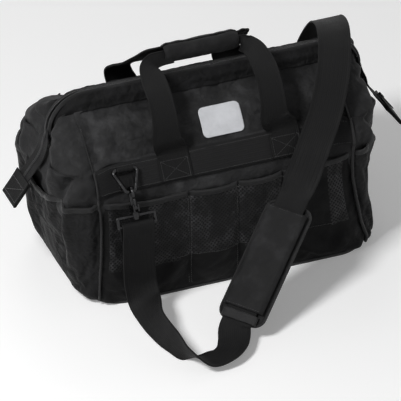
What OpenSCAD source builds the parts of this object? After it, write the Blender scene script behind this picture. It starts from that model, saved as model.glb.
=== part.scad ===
// Wide-mouth tool bag with outside pockets, two carrying handles and a
// detachable shoulder strap. Millimetres, +Z up, the origin is the middle of
// the base where it meets the floor, and the front faces -Y.

/* [Bag body] */
// Length of the bag at its base
base_len = 430; // [400:5:470]
// Depth of the bag at its base, front to back
base_dep = 250; // [230:5:280]
// Height of the closed zipper above the floor
bag_h = 290; // [280:5:310]
// Radius of the vertical corners
corner_r = 50; // [40:2:58]
// How far the filled ends swell out past the base
end_bulge = 40; // [24:2:48]
// Thickness of the padded walls
wall_t = 4; // [2.5:0.5:5]
// Thickness of the moulded bottom panel
base_t = 4; // [3:0.5:6]
// Thickness of the stiffening board inside the bottom
board_t = 3; // [2:0.5:5]

/* [Pockets] */
// Height of the outside pockets' bound top edge, as a share of the bag's height
pocket_share = 0.562; // [0.48:0.002:0.58]
// How far the pocket fronts stand off the wall
pocket_stand = 13; // [10:1:18]
// Thickness of the pocket cloth
cloth_t = 2.5; // [1.5:0.5:3]
// Height of the binding on the pocket edges
binding_h = 8; // [5:1:12]
// Height of the pockets inside the bag
inner_pocket_h = 100; // [70:5:130]

/* [Mouth] */
// Height of the rivets that the frame halves turn on, as a share of the bag's height
hinge_share = 0.717; // [0.69:0.001:0.724]
// Diameter of the steel frame rod
rod_d = 6; // [4:0.5:7]
// Width of the sleeve that holds the rod, from the zipper to its seam
sleeve_w = 24; // [20:1:30]
// Radius of the frame's upper corners, as a share of the bag's height
frame_bend_share = 0.15; // [0.12:0.005:0.15]
// Lean of each frame half away from the other when the zipper is shut
frame_lean = 12; // [11.5:0.5:14]
// Width of both zipper tapes together at the tail
tape_w = 32; // [28:1:36]

/* [Handles] */
// Width of the webbing of handles and strap
webbing_w = 48; // [38:1:50]
// Thickness of the webbing
webbing_t = 2.2; // [1.5:0.1:3]
// Half the distance between a handle's two legs
handle_reach = 84; // [78:1:96]
// Height of the middle of the grip above the closed zipper
grip_rise = 32; // [26:1:50]
// Length of the padded grip
grip_len = 113; // [100:1:120]
// Outer diameter of the padded grip
grip_d = 29; // [26:1:34]

/* [Shoulder strap] */
// Distance of the strap rings from the bag's middle, as a share of its length
ring_share = 0.37; // [0.35:0.005:0.385]
// Wire diameter of the rings and snap hooks
wire_d = 5; // [4:0.25:5.5]
// Width of a strap ring
ring_w = 44; // [40:1:48]
// Drop of a strap ring from its bar to its foot
ring_drop = 34; // [30:1:38]
// Length of the shoulder pad
pad_len = 182; // [150:2:190]
// Width of the shoulder pad
pad_w = 71; // [64:1:76]
// Thickness of the shoulder pad's cushion
pad_t = 9; // [6:1:12]

/* [Hidden] */
$fn = 48;

// One overrun for every cut, and the gap left between pieces that touch
overrun = 1;
seat_gap = 0.2;
running_gap = 0.3;

// Outline of the filled bag, as shares of the bag's height, of the end bulge,
// of half the base's depth and of the corner radius
bulge_shares = [[0, -0.2], [0.04, 0], [0.14, 0.1], [0.31, 0.45], [0.45, 0.85], [0.56, 1],
    [0.66, 1], [0.75, 0.93], [0.84, 0.72], [0.9, 0.5], [0.94, 0.2]];
depth_shares = [[0, 0.965], [0.04, 0.985], [0.28, 1], [0.45, 0.99], [0.563, 0.965], [0.63, 0.885],
    [0.69, 0.79], [0.745, 0.695], [0.793, 0.6], [0.845, 0.505], [0.89, 0.39], [0.91, 0.29],
    [0.925, 0.215]];
corner_shares = [[0, 0.94], [0.04, 1], [0.5, 1], [0.65, 0.86], [0.75, 0.72], [0.84, 0.56],
    [0.9, 0.42], [0.94, 0.24]];
// Where the pockets end, the wall comes out to the bag's full outline
stand_shares = [[0, 1], [0.563, 1], [0.592, 0.86], [0.615, 0.6], [0.66, 0.12], [0.7, 0]];
// The ends sink in towards the zipper's tail
dent_shares = [[0, 0], [0.52, 0], [0.59, 0.25], [0.66, 0.62], [0.72, 1], [1, 1]];

function half_len(z) = base_len / 2 + end_bulge * lookup(z / bag_h, bulge_shares);
function half_dep(z) = base_dep / 2 * lookup(z / bag_h, depth_shares);
function corner(z) = corner_r * lookup(z / bag_h, corner_shares);
function wall_inset(z) = pocket_stand * lookup(z / bag_h, stand_shares);
function flat(lists) = [for (one = lists) for (item = one) item];
function unit(v) = v / norm(v);
function mirror_x(rows) = [for (p = rows) [-p.x, p.y, p.z]];
function reversed(list) = [for (i = [len(list) - 1:-1:0]) list[i]];

// A point of the corner at +X +Y: angle 0 faces the end and 90 the rear
function corner_point(z, angle, inset) =
    let (r = corner(z))
    [half_len(z) - r + (r - inset) * cos(angle), half_dep(z) - r + (r - inset) * sin(angle), z];

// Places where the seams and the walls end, as shares of the bag's size
wall_over_hinge_share = 0.0276;
hinge_x_share = 0.528;
dent_room_share = 0.0163;
hinge_h = hinge_share * bag_h;
pocket_h = pocket_share * bag_h;
wall_top = hinge_h + wall_over_hinge_share * bag_h;
hinge_x = hinge_x_share * base_len;
seam_angle = 45;
panel_angles = [seam_angle, 60, 75, 90];
end_angles = [0, 15, 30, seam_angle];

// Levels of the pockets and of the wall above them, as shares of the height they span
pocket_level_shares = [0, 0.05, 0.15, 0.4, 0.7, 1];
upper_wall_shares = [0, 0.3, 0.65, 1];
function levels(low, high, shares) = [for (s = shares) low + (high - low) * s];
function wall_levels() = concat(levels(base_t, pocket_h, pocket_level_shares),
    levels(pocket_h + binding_h, wall_top, upper_wall_shares));

// Solid between an outer and an inner sheet. Each level is [outer row, inner row],
// with its rows running anticlockwise seen from the way the levels go.
module sheet_solid(rows) {
    n = len(rows[0][0]);
    last = len(rows) - 1;
    points = flat([for (level = rows) concat(level[0], level[1])]);
    function outer_id(i, c) = i * 2 * n + c;
    function inner_id(i, c) = i * 2 * n + n + c;
    faces = flat([
        for (i = [0:last - 1]) for (c = [0:n - 2]) [
            [outer_id(i, c), outer_id(i + 1, c), outer_id(i + 1, c + 1)],
            [outer_id(i, c), outer_id(i + 1, c + 1), outer_id(i, c + 1)],
            [inner_id(i, c), inner_id(i + 1, c + 1), inner_id(i + 1, c)],
            [inner_id(i, c), inner_id(i, c + 1), inner_id(i + 1, c + 1)]
        ],
        for (i = [0:last - 1]) [
            [outer_id(i, 0), inner_id(i + 1, 0), outer_id(i + 1, 0)],
            [outer_id(i, 0), inner_id(i, 0), inner_id(i + 1, 0)],
            [outer_id(i, n - 1), outer_id(i + 1, n - 1), inner_id(i + 1, n - 1)],
            [outer_id(i, n - 1), inner_id(i + 1, n - 1), inner_id(i, n - 1)]
        ],
        for (c = [0:n - 2]) [
            [outer_id(0, c), outer_id(0, c + 1), inner_id(0, c + 1)],
            [outer_id(0, c), inner_id(0, c + 1), inner_id(0, c)],
            [outer_id(last, c), inner_id(last, c + 1), outer_id(last, c + 1)],
            [outer_id(last, c), inner_id(last, c), inner_id(last, c + 1)]
        ]
    ]);
    polyhedron(points = points, faces = faces, convexity = 6);
}

// Solid through a list of convex rings, each anticlockwise seen from the far end
module loft(rings) {
    n = len(rings[0]);
    last = len(rings) - 1;
    sides = flat([for (i = [0:last - 1]) for (j = [0:n - 1])
        let (k = (j + 1) % n)
        [[i * n + j, (i + 1) * n + j, (i + 1) * n + k], [i * n + j, (i + 1) * n + k, i * n + k]]]);
    low = [for (j = [1:n - 2]) [0, j, j + 1]];
    high = [for (j = [1:n - 2]) [last * n, last * n + j + 1, last * n + j]];
    polyhedron(points = flat(rings), faces = concat(sides, low, high), convexity = 6);
}

// Webbing along a path. Each step is [place, half-width vector, thickness vector].
module webbing(steps) {
    loft([for (s = steps) [s[0] - s[1] - s[2], s[0] + s[1] - s[2], s[0] + s[1] + s[2], s[0] - s[1] + s[2]]]);
}

// Exact rectangle with round corners
module rounded_square(size, r) {
    square([size.x - 2 * r, size.y], center = true);
    square([size.x, size.y - 2 * r], center = true);
    for (sx = [-1, 1], sy = [-1, 1]) {
        translate([sx * (size.x / 2 - r), sy * (size.y / 2 - r)]) circle(r);
    }
}

// Round rod between two places
module rod(from, to, d) {
    way = to - from;
    turn = [0, acos(way.z / norm(way)), atan2(way.y, way.x)];
    translate(from) rotate(turn) cylinder(d = d, h = norm(way));
}

// Bottom

module base_panel() {
    color("#1c1c1c") linear_extrude(base_t)
        rounded_square([2 * half_len(base_t), 2 * half_dep(base_t)], corner(base_t));
}

module base_board() {
    room = pocket_stand + wall_t + 3 * running_gap;
    color("#3a3a38") translate([0, 0, base_t]) linear_extrude(board_t)
        rounded_square([2 * (half_len(base_t) - room), 2 * (half_dep(base_t) - room)], corner(base_t) - room);
}

// Walls

// Row of the rear panel from the right seam to the left seam, at one level.
// The seam columns lie at their own inset.
function panel_row(z, inset, seam_inset) =
    let (side = [for (a = panel_angles) corner_point(z, a, a == seam_angle ? seam_inset : inset)])
    concat(side, reversed(mirror_x(side)));

module panel_between(low, high, shares, outer, inner) {
    sheet_solid([for (z = levels(low, high, shares))
        [panel_row(z, outer, outer), panel_row(z, inner, inner)]]);
}

module long_wall() {
    sheet_solid([for (z = wall_levels())
        let (i = wall_inset(z)) [panel_row(z, i, i), panel_row(z, i + wall_t, i + wall_t)]]);
}

module rear_wall() {
    color("#262626") long_wall();
}

module front_wall() {
    color("#262626") mirror([0, 1, 0]) long_wall();
}

// Row of the right end from its front seam to its rear seam, sunk in the middle
function end_row(z, inset, seam_inset, dent) =
    let (rear = [for (a = end_angles) corner_point(z, a, a == seam_angle ? seam_inset : inset)],
        front = [for (p = reversed(rear)) [p.x, -p.y, p.z]],
        x = half_len(z) - inset - dent)
    concat(front, [[x, 0, z]], rear);

function end_dent(z) =
    (half_len(wall_top) - hinge_x - dent_room_share * base_len) * lookup(z / bag_h, dent_shares);

module end_wall() {
    difference() {
        sheet_solid([for (z = wall_levels())
            let (i = wall_inset(z), d = end_dent(z))
            [end_row(z, i, i, d), end_row(z, i + wall_t, i + wall_t, d)]]);
        translate([hinge_x, 0, hinge_h]) rotate([0, 90, 0])
            cylinder(d = rivet_d + 2 * seat_gap, h = end_bulge);
    }
}

module right_end_wall() {
    color("#222222") end_wall();
}

module left_end_wall() {
    color("#222222") mirror([1, 0, 0]) end_wall();
}

// Soft upper part that folds when the mouth opens

upper_top = bag_h * 0.925;
upper_shares = [0, 0.35, 0.65, 0.88, 1];

module upper_panel() {
    panel_between(wall_top + running_gap, upper_top, upper_shares, 0, cloth_t);
}

module rear_upper_panel() {
    color("#2a2a2a") upper_panel();
}

module front_upper_panel() {
    color("#2a2a2a") mirror([0, 1, 0]) upper_panel();
}

// Row of a gusset from the sleeve's edge to just short of the seam
gusset_turn = 1.5;

function gusset_row(z, inset) =
    let (share = (z - wall_top) / (upper_top - wall_top),
        edge_x = hinge_x + sleeve_w / 3 - inset + share * sleeve_w / 8,
        edge_y = sleeve_w + share * sleeve_w / 12)
    concat([[min(edge_x, half_len(z) - inset), edge_y, z]],
        [for (a = end_angles) corner_point(z, min(a, seam_angle - gusset_turn), inset)]);

module gusset() {
    sheet_solid([for (z = levels(wall_top + running_gap, bag_h * 0.875, upper_shares))
        [gusset_row(z, 0), gusset_row(z, cloth_t)]]);
}

module right_rear_gusset() {
    color("#242424") gusset();
}

module right_front_gusset() {
    color("#242424") mirror([0, 1, 0]) gusset();
}

module left_rear_gusset() {
    color("#242424") mirror([1, 0, 0]) gusset();
}

module left_front_gusset() {
    color("#242424") mirror([0, 1, 0]) mirror([1, 0, 0]) gusset();
}

// Outside pockets

seam_inset = pocket_stand - cloth_t - seat_gap;

module pocket_panel() {
    sheet_solid([for (z = levels(base_t, pocket_h, pocket_level_shares))
        [panel_row(z, 0, seam_inset), panel_row(z, cloth_t, seam_inset + cloth_t)]]);
}

module rear_pocket_panel() {
    color("#1f1f1f") pocket_panel();
}

module front_pocket_panel() {
    color("#1f1f1f") mirror([0, 1, 0]) pocket_panel();
}

module end_pocket() {
    sheet_solid([for (z = levels(base_t, pocket_h, pocket_level_shares))
        [end_row(z, 0, seam_inset, 0), end_row(z, cloth_t, seam_inset + cloth_t, 0)]]);
}

module right_end_pocket() {
    color("#1f1f1f") end_pocket();
}

module left_end_pocket() {
    color("#1f1f1f") mirror([1, 0, 0]) end_pocket();
}

// Upright webs that part the long pockets, as shares of half the base's length
divider_shares = [-0.32, 0.02, 0.34];

module pocket_dividers() {
    for (share = divider_shares) {
        x = share * base_len / 2;
        rows = [for (z = levels(base_t, pocket_h, pocket_level_shares))
            let (near = half_dep(z) - wall_inset(z) + seat_gap, far = half_dep(z) - cloth_t - seat_gap)
            [[[x - cloth_t / 2, near, z], [x + cloth_t / 2, near, z]],
                [[x - cloth_t / 2, far, z], [x + cloth_t / 2, far, z]]]];
        sheet_solid([for (row = rows) [row[0], row[1]]]);
    }
}

module rear_pocket_dividers() {
    color("#202020") mirror([1, 0, 0]) pocket_dividers();
}

module front_pocket_dividers() {
    color("#202020") mirror([0, 1, 0]) pocket_dividers();
}

// The binding caps the pocket's edge and stands a little proud of it
binding_lip = 0.8;

module long_binding() {
    sheet_solid([for (z = [pocket_h, pocket_h + binding_h])
        [panel_row(z, -binding_lip, seam_inset - binding_lip),
            panel_row(z, cloth_t + binding_lip, pocket_stand - seat_gap - binding_h / 4)]]);
}

module rear_pocket_binding() {
    color("#3a3a3a") long_binding();
}

module front_pocket_binding() {
    color("#3a3a3a") mirror([0, 1, 0]) long_binding();
}

module end_binding() {
    sheet_solid([for (z = [pocket_h, pocket_h + binding_h])
        [end_row(z, -binding_lip, seam_inset - binding_lip, 0),
            end_row(z, cloth_t + binding_lip, pocket_stand - seat_gap - binding_h / 4, 0)]]);
}

module right_pocket_binding() {
    color("#3a3a3a") end_binding();
}

module left_pocket_binding() {
    color("#3a3a3a") mirror([1, 0, 0]) end_binding();
}

// Pockets inside the bag, a sheet held off each long wall by upright webs
inner_stand = 14;
inner_len_share = 0.76;

module inner_pocket() {
    low = base_t + board_t + seat_gap;
    face = half_dep(low) - pocket_stand - wall_t - seat_gap;
    half = base_len / 2 * inner_len_share;
    translate([-half, face - inner_stand, low]) cube([2 * half, cloth_t, inner_pocket_h]);
    for (share = [-1, -0.33, 0.33, 1]) {
        translate([share * (half - cloth_t / 2) - cloth_t / 2, face - inner_stand, low])
            cube([cloth_t, inner_stand, inner_pocket_h]);
    }
}

module rear_inner_pocket() {
    color("#2b2b2b") inner_pocket();
}

module front_inner_pocket() {
    color("#2b2b2b") mirror([0, 1, 0]) inner_pocket();
}

// Webbing sewn along the long walls below the handles
band_w = 34;

module webbing_band() {
    panel_between(wall_top - band_w, wall_top - running_gap, [0, 0.5, 1], -seat_gap - webbing_t, -seat_gap);
}

module rear_webbing_band() {
    color("#333333") webbing_band();
}

module front_webbing_band() {
    color("#333333") mirror([0, 1, 0]) webbing_band();
}

// Corded piping down the four corner seams
piping_d = 5;
piping_sides = 8;
piping_shares = [0.01, 0.05, 0.15, 0.3, 0.45, 0.6, 0.74, 0.82, 0.9, 1];

function piping_inset(z) = z < pocket_h + binding_h
    ? wall_inset(z) - cloth_t - piping_d * 0.95
    : -webbing_t - seat_gap - piping_d * 0.6;

module piping() {
    loft([for (z = levels(base_t, wall_top, piping_shares))
        let (at = corner_point(z, seam_angle, piping_inset(z)))
        [for (j = [0:piping_sides - 1])
            let (a = j * 360 / piping_sides) at + piping_d / 2 * [cos(a), sin(a), 0]]]);
}

module corner_piping() {
    color("#3d3d3d") for (mx = [0, 1], my = [0, 1]) {
        mirror([mx, 0, 0]) mirror([0, my, 0]) piping();
    }
}

// Wide mouth: two steel frame halves in sewn sleeves, riveted at the ends

rivet_d = 5;
tongue_t = 3;
tongue_w = 12;
tongue_gap = 0.2;
rivet_head_d = 12;
rivet_head_t = 1.8;
rivet_low = hinge_h - rivet_head_d * 0.6;
rivet_out = half_len(rivet_low) - end_dent(rivet_low) + running_gap;
ridge_drop_share = 0.036;
leg_start_share = 0.089;
frame_rise = bag_h - ridge_drop_share * bag_h - hinge_h;
frame_r = frame_bend_share * bag_h;
leg_start = leg_start_share * bag_h;

// Sweep a profile round the frame's U. The profile's X points away from the
// rivets and its Y towards the other frame half.
module u_sweep(half, start) {
    rise = frame_rise;
    straight = half - frame_r;
    translate([-straight, rise, 0]) rotate([90, 0, 90]) linear_extrude(2 * straight) children();
    for (side = [0, 1]) {
        mirror([side, 0, 0]) {
            translate([straight, rise - frame_r, 0]) rotate_extrude(angle = 90)
                translate([frame_r, 0]) children();
            translate([half, start, 0]) rotate([-90, 0, 0]) mirror([0, 1, 0])
                linear_extrude(rise - frame_r - start) children();
        }
    }
}

module in_rear_half() {
    translate([0, 0, hinge_h]) rotate([90 - frame_lean, 0, 0]) children();
}

// The two halves meet face to face in the middle of the mouth
module behind_middle() {
    difference() {
        children();
        translate([-base_len, seat_gap / 2 - base_dep, 0]) cube([2 * base_len, base_dep, 2 * bag_h]);
    }
}

function tongue_place(rank) = hinge_x + (rank - 0.5) * (tongue_t + tongue_gap);

module frame_half(rank) {
    half = tongue_place(rank);
    in_rear_half() {
        u_sweep(half, leg_start - 2 * overrun) circle(d = rod_d);
        for (side = [-1, 1]) {
            difference() {
                translate([side * half, 0, 0]) rotate([0, 90, 0]) union() {
                    cylinder(d = tongue_w, h = tongue_t, center = true);
                    translate([-tongue_w * 0.3, 0, -tongue_t / 2])
                        cube([tongue_w * 0.6, leg_start, tongue_t]);
                }
                translate([side * half, 0, 0]) rotate([0, 90, 0])
                    cylinder(d = rivet_d + seat_gap, h = tongue_t + 2 * overrun, center = true);
            }
        }
    }
}

module rear_frame_bar() {
    color("silver") frame_half(1);
}

module front_frame_bar() {
    color("silver") mirror([0, 1, 0]) frame_half(0);
}

// Flat folded strip with a round channel for the rod
strip_t = 2.8;
strip_turn = 50;
channel_wall = 1.8;

module sleeve_profile() {
    difference() {
        union() {
            circle(d = rod_d + 2 * (channel_wall + seat_gap));
            rotate(strip_turn) square([sleeve_w, strip_t], center = true);
        }
        circle(d = rod_d + 2 * seat_gap);
    }
}

module mouth_sleeve(rank) {
    behind_middle() in_rear_half() u_sweep(tongue_place(rank), leg_start) sleeve_profile();
}

module rear_mouth_sleeve() {
    color("#2e2e2e") mouth_sleeve(1);
}

module front_mouth_sleeve() {
    color("#2e2e2e") mirror([0, 1, 0]) mouth_sleeve(0);
}

// Zipper tape over the sleeve's upper edge, with its coil in the mouth's middle
tape_t = 1.2;
tape_reach = 7;
coil_d = 2.6;

module tape_profile() {
    out = sleeve_w / 2 * cos(strip_turn) + strip_t;
    translate([out - tape_t / 2, -tape_reach]) square([tape_t, tape_reach - coil_d / 2]);
    translate([out, -(coil_d + seat_gap) / 2]) circle(d = coil_d);
}

module zip_tape(rank) {
    translate([0, 0, hinge_h - frame_rise * (1 - cos(frame_lean))]) rotate([90, 0, 0])
        u_sweep(tongue_place(rank), leg_start) tape_profile();
}

module rear_zip_tape() {
    color("#1a1a1a") zip_tape(1);
}

module front_zip_tape() {
    color("#1a1a1a") mirror([0, 1, 0]) zip_tape(0);
}

// Rivet through both frame tongues and the end wall, headed inside and out
module hinge_rivet() {
    inner = tongue_place(0) - tongue_t / 2 - seat_gap;
    outer = rivet_out;
    translate([0, 0, hinge_h]) rotate([0, 90, 0]) {
        translate([0, 0, inner - rivet_head_t]) cylinder(d = rivet_head_d, h = rivet_head_t);
        translate([0, 0, inner - rivet_head_t]) cylinder(d = rivet_d, h = outer - inner + rivet_head_t);
        translate([0, 0, outer]) cylinder(d = rivet_head_d, h = rivet_head_t);
    }
}

module right_hinge_rivet() {
    color("#8a8a8a") hinge_rivet();
}

module left_hinge_rivet() {
    color("#8a8a8a") mirror([1, 0, 0]) hinge_rivet();
}

// Zipper tail over the end of the bag

tail_t = 1.4;
tail_slit = 2;
tail_out = 1.2;
tab_len = 32;
tab_t = 4.4;
tail_rise_share = 0.0138;
tail_drop_share = 0.0414;
tail_x = rivet_out + rivet_head_t + tail_out;
// The tail's line in the XZ plane: down past the rivet, then out to its tab
tail_start = [tail_x, 0, wall_top + tail_rise_share * bag_h];
tail_bend = [tail_x + end_bulge * 0.2, 0, hinge_h - tail_drop_share * bag_h];
tail_dip = 54;
tail_run = 46;
tail_way = [cos(tail_dip), 0, -sin(tail_dip)];
tail_end = tail_bend + tail_run * tail_way;
tail_up = [sin(tail_dip), 0, cos(tail_dip)];

module zip_tail() {
    half = (tape_w - tail_slit) / 4;
    for (side = [-1, 1]) {
        across = [0, half, 0];
        middle = [0, side * (tail_slit / 2 + half), 0];
        webbing([
            [tail_end + middle, across, tail_up * tail_t / 2],
            [tail_bend + middle, across, unit(tail_up + [1, 0, 0]) * tail_t / 2],
            [tail_start + middle, across, [1, 0, 0] * tail_t / 2]
        ]);
    }
}

module right_zip_tail() {
    color("#1a1a1a") zip_tail();
}

module left_zip_tail() {
    color("#1a1a1a") mirror([1, 0, 0]) zip_tail();
}

module zip_tab() {
    translate(tail_end + tail_way * seat_gap) rotate([0, tail_dip, 0])
        translate([0, -webbing_w / 2, -tab_t / 2]) cube([tab_len, webbing_w, tab_t]);
}

module right_zip_tab() {
    color("#3a3a3a") zip_tab();
}

module left_zip_tab() {
    color("#3a3a3a") mirror([1, 0, 0]) zip_tab();
}

// Slider: two plates joined by a neck that runs in the tail's slit
slider_len = 15;
slider_w = 12;
slider_plate = 2;
slider_room = tail_t + 2 * running_gap;
slider_back = 7;
pull_len = 24;
pull_pin = 2;
pull_lift = 4;

module along_tail() {
    translate(tail_end) rotate([0, tail_dip, 0]) children();
}

module zip_slider() {
    color("#4a4a4a") along_tail() translate([-slider_back - slider_len, 0, 0]) {
        for (side = [-1, 1]) {
            translate([0, -slider_w / 2, side * (slider_room + slider_plate) / 2 - slider_plate / 2])
                cube([slider_len, slider_w, slider_plate]);
        }
        translate([slider_len * 0.2, -tail_slit / 2 + running_gap, -slider_room / 2])
            cube([slider_len * 0.6, tail_slit - 2 * running_gap, slider_room]);
        difference() {
            translate([slider_len / 2 - pull_lift, -slider_w / 4, slider_room / 2 + slider_plate])
                cube([2 * pull_lift, slider_w / 2, pull_lift]);
            translate([slider_len / 2, 0, slider_room / 2 + slider_plate + pull_lift / 2]) rotate([90, 0, 0])
                cylinder(d = pull_pin + seat_gap, h = slider_w, center = true);
        }
    }
}

module zip_pull() {
    arm = 1.6;
    inner = slider_w / 4 + seat_gap;
    color("#4a4a4a") along_tail()
        translate([-slider_back - slider_len / 2, 0, slider_room / 2 + slider_plate + pull_lift / 2]) {
            rotate([90, 0, 0]) cylinder(d = pull_pin, h = 2 * (inner + arm), center = true);
            for (side = [-1, 1]) {
                translate([0, side * (inner + arm / 2) - arm / 2, -arm / 2])
                    cube([pull_lift + 2 * arm, arm, arm]);
            }
            translate([pull_lift + arm, -inner - arm, -arm / 2]) cube([pull_len, 2 * (inner + arm), arm]);
        }
}

// Carrying handles

foot_stand = 3;
foot_y = half_dep(wall_top) + webbing_t + foot_stand;
foot_h = wall_top + seat_gap;
grip_h = bag_h + grip_rise;
rise = grip_h - foot_h;
// Line of a leg from its foot to the grip, as shares of the handle's reach, of
// the foot's distance from the middle and of the grip's height over the foot
leg_shares = [[1, 1, 0], [1, 1.07, 0.25], [0.99, 1.04, 0.5], [0.95, 0.86, 0.76], [0.87, 0.55, 0.955],
    [0.77, 0.27, 1.02], [0.71, 0.09, 1]];
// Half-width vector of the webbing at each of these, as shares of its width
leg_width_shares = [[0.5, 0, 0], [0.5, 0, 0], [0.5, 0, 0], [0.5, 0.02, 0.02], [0.46, 0.1, -0.1],
    [0.13, 0.16, -0.26], [0, 0.1, -0.2]];

function leg_place(s) = [s.x * handle_reach, s.y * foot_y, foot_h + s.z * rise];

module handle_leg() {
    last = len(leg_shares) - 1;
    webbing([for (i = [0:last])
        let (here = leg_place(leg_shares[i]),
            way = leg_place(leg_shares[min(i + 1, last)]) - leg_place(leg_shares[max(i - 1, 0)]),
            half = webbing_w * leg_width_shares[i],
            thick = unit(cross(unit(way), unit(half))) * webbing_t / 2)
        [here, half, thick]]);
}

// The webbing is folded in half inside the grip
module handle_loop() {
    core_w = grip_d * 0.54;
    core_t = grip_d * 0.25;
    for (side = [0, 1]) {
        mirror([side, 0, 0]) handle_leg();
    }
    translate([-grip_len / 2 - 2 * webbing_t, seat_gap + running_gap, grip_h - core_w / 2])
        cube([grip_len + 4 * webbing_t, core_t, core_w]);
}

module rear_handle() {
    color("#3c3c3c") handle_loop();
}

module front_handle() {
    color("#3c3c3c") mirror([0, 1, 0]) handle_loop();
}

// The grip's front half is sewn to the front handle, and its flap closes
// round the rear handle and laps under the front half
wrap_t = 3;

module grip_shell(inner, outer, from, to) {
    translate([-grip_len / 2, 0, grip_h]) rotate([90, 0, 90])
        rotate(from) rotate_extrude_arc(inner, outer, to - from);
}

module rotate_extrude_arc(inner, outer, angle) {
    rotate_extrude(angle = angle) translate([inner, 0]) square([outer - inner, grip_len]);
}

module grip_wrap() {
    color("#232323") grip_shell(grip_d / 2 - wrap_t, grip_d / 2, 90, 270);
}

module grip_flap() {
    flap_gap_angle = 1.5;
    color("#232323") grip_shell(grip_d / 2 - wrap_t, grip_d / 2, -90 + flap_gap_angle, 90 - flap_gap_angle);
}

// Shoulder strap fittings, drawn for the front left and turned half round for
// the rear right. Each chain hangs from its ring's bar, which lies along X.

ring_reach = ring_share * base_len;
ring_bar_drop = 4;
ring_bar_h = wall_top - ring_bar_drop;
anchor_t = 2;
anchor_w = ring_w * 0.56;
anchor_slope = atan2(half_dep(wall_top - band_w) - half_dep(wall_top), band_w);
anchor_depth = (wire_d + seat_gap) / 2 + anchor_t;
ring_bar_y = half_dep(ring_bar_h) + (webbing_t + anchor_depth + 3 * running_gap) / cos(anchor_slope);
ring_lean = 50;
hook_lean = 33;
ring_foot_w = wire_d * 2.6;
ring_bend_r = wire_d * 0.9;

module at_left_ring() {
    translate([-ring_reach, -ring_bar_y, ring_bar_h]) rotate([-ring_lean, 0, 0]) children();
}

module at_right_ring() {
    rotate([0, 0, 180]) at_left_ring() children();
}

// Closed wire through the corners of a flat outline, drawn anticlockwise in XY.
// Its bends are a little fuller than its straights, which run into them.
bend_share = 1.06;
bend_lap_share = 0.12;

module bent_wire(corners, r, d) {
    n = len(corners);
    for (i = [0:n - 1]) {
        here = corners[i];
        next = corners[(i + 1) % n];
        into = unit(here - corners[(i + n - 1) % n]);
        away = unit(next - here);
        after = unit(corners[(i + 2) % n] - next);
        turn = acos(into * away);
        reach = r * tan(turn / 2);
        next_reach = r * tan(acos(away * after) / 2);
        way = atan2(into.y, into.x);
        translate(here - into * reach + r * [-into.y, into.x]) rotate(way - 90)
            rotate_extrude(angle = turn) translate([r, 0]) circle(d = d * bend_share);
        lap = r * bend_lap_share;
        translate(here + away * (reach - lap)) rotate([0, 90, atan2(away.y, away.x)])
            cylinder(d = d, h = norm(next - here) - reach - next_reach + 2 * lap);
    }
}

module strap_ring() {
    half = ring_w / 2 - wire_d / 2;
    foot = ring_foot_w / 2;
    rotate([90, 0, 0])
        bent_wire([[half, 0], [-half, 0], [-foot, -ring_drop], [foot, -ring_drop]], ring_bend_r, wire_d);
}

module left_ring() {
    color("#8f8f8f") at_left_ring() strap_ring();
}

module right_ring() {
    color("#8f8f8f") at_right_ring() strap_ring();
}

// Webbing folded over the ring's bar and sewn to the band
module ring_anchor() {
    bore = wire_d + seat_gap;
    depth = anchor_depth;
    rotate([90, 0, 90]) linear_extrude(anchor_w, center = true) difference() {
        union() {
            circle(r = depth);
            rotate(-anchor_slope) translate([depth - anchor_t - seat_gap, -band_w * 0.72])
                square([anchor_t, band_w * 0.72]);
        }
        circle(d = bore);
    }
}

module left_ring_anchor() {
    color("#333333") translate([-ring_reach, -ring_bar_y, ring_bar_h]) ring_anchor();
}

module right_ring_anchor() {
    color("#333333") rotate([0, 0, 180]) translate([-ring_reach, -ring_bar_y, ring_bar_h]) ring_anchor();
}

// Snap hook: a curl over the ring's foot, a spine, a slotted body with the
// gate's pin, and a swivel pin that carries the strap's loop
curl_in = 4.5;
curl_r = curl_in + wire_d / 2;
spine_drop = 17;
body_h = 10;
body_w = 9;
gate_d = 4.2;
gate_eye_d = 5.2;
gate_pin_d = 2.4;
gate_slot = gate_d + 2 * running_gap;
neck_d = 8;
neck_h = 2;
swivel_d = 4.6;
collar_d = 10.5;
collar_h = 6;
swivel_head_d = 8;
swivel_head_h = 2.4;
loop_play = 1;
loop_w = webbing_w + 2 * wire_d + 2 * loop_play;
loop_drop = 13;
curl_drop = curl_in - wire_d / 2 - seat_gap;
body_top = -curl_drop - spine_drop;
collar_top = body_top - body_h - neck_h - seat_gap;
loop_bar = collar_top - collar_h / 2 - loop_drop;
gate_pivot = body_top - body_h / 2;
tip_drop = 5;

module at_left_hook() {
    at_left_ring() translate([0, 0, -ring_drop]) rotate([ring_lean - hook_lean, 0, 0]) children();
}

module at_right_hook() {
    rotate([0, 0, 180]) at_left_hook() children();
}

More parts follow.
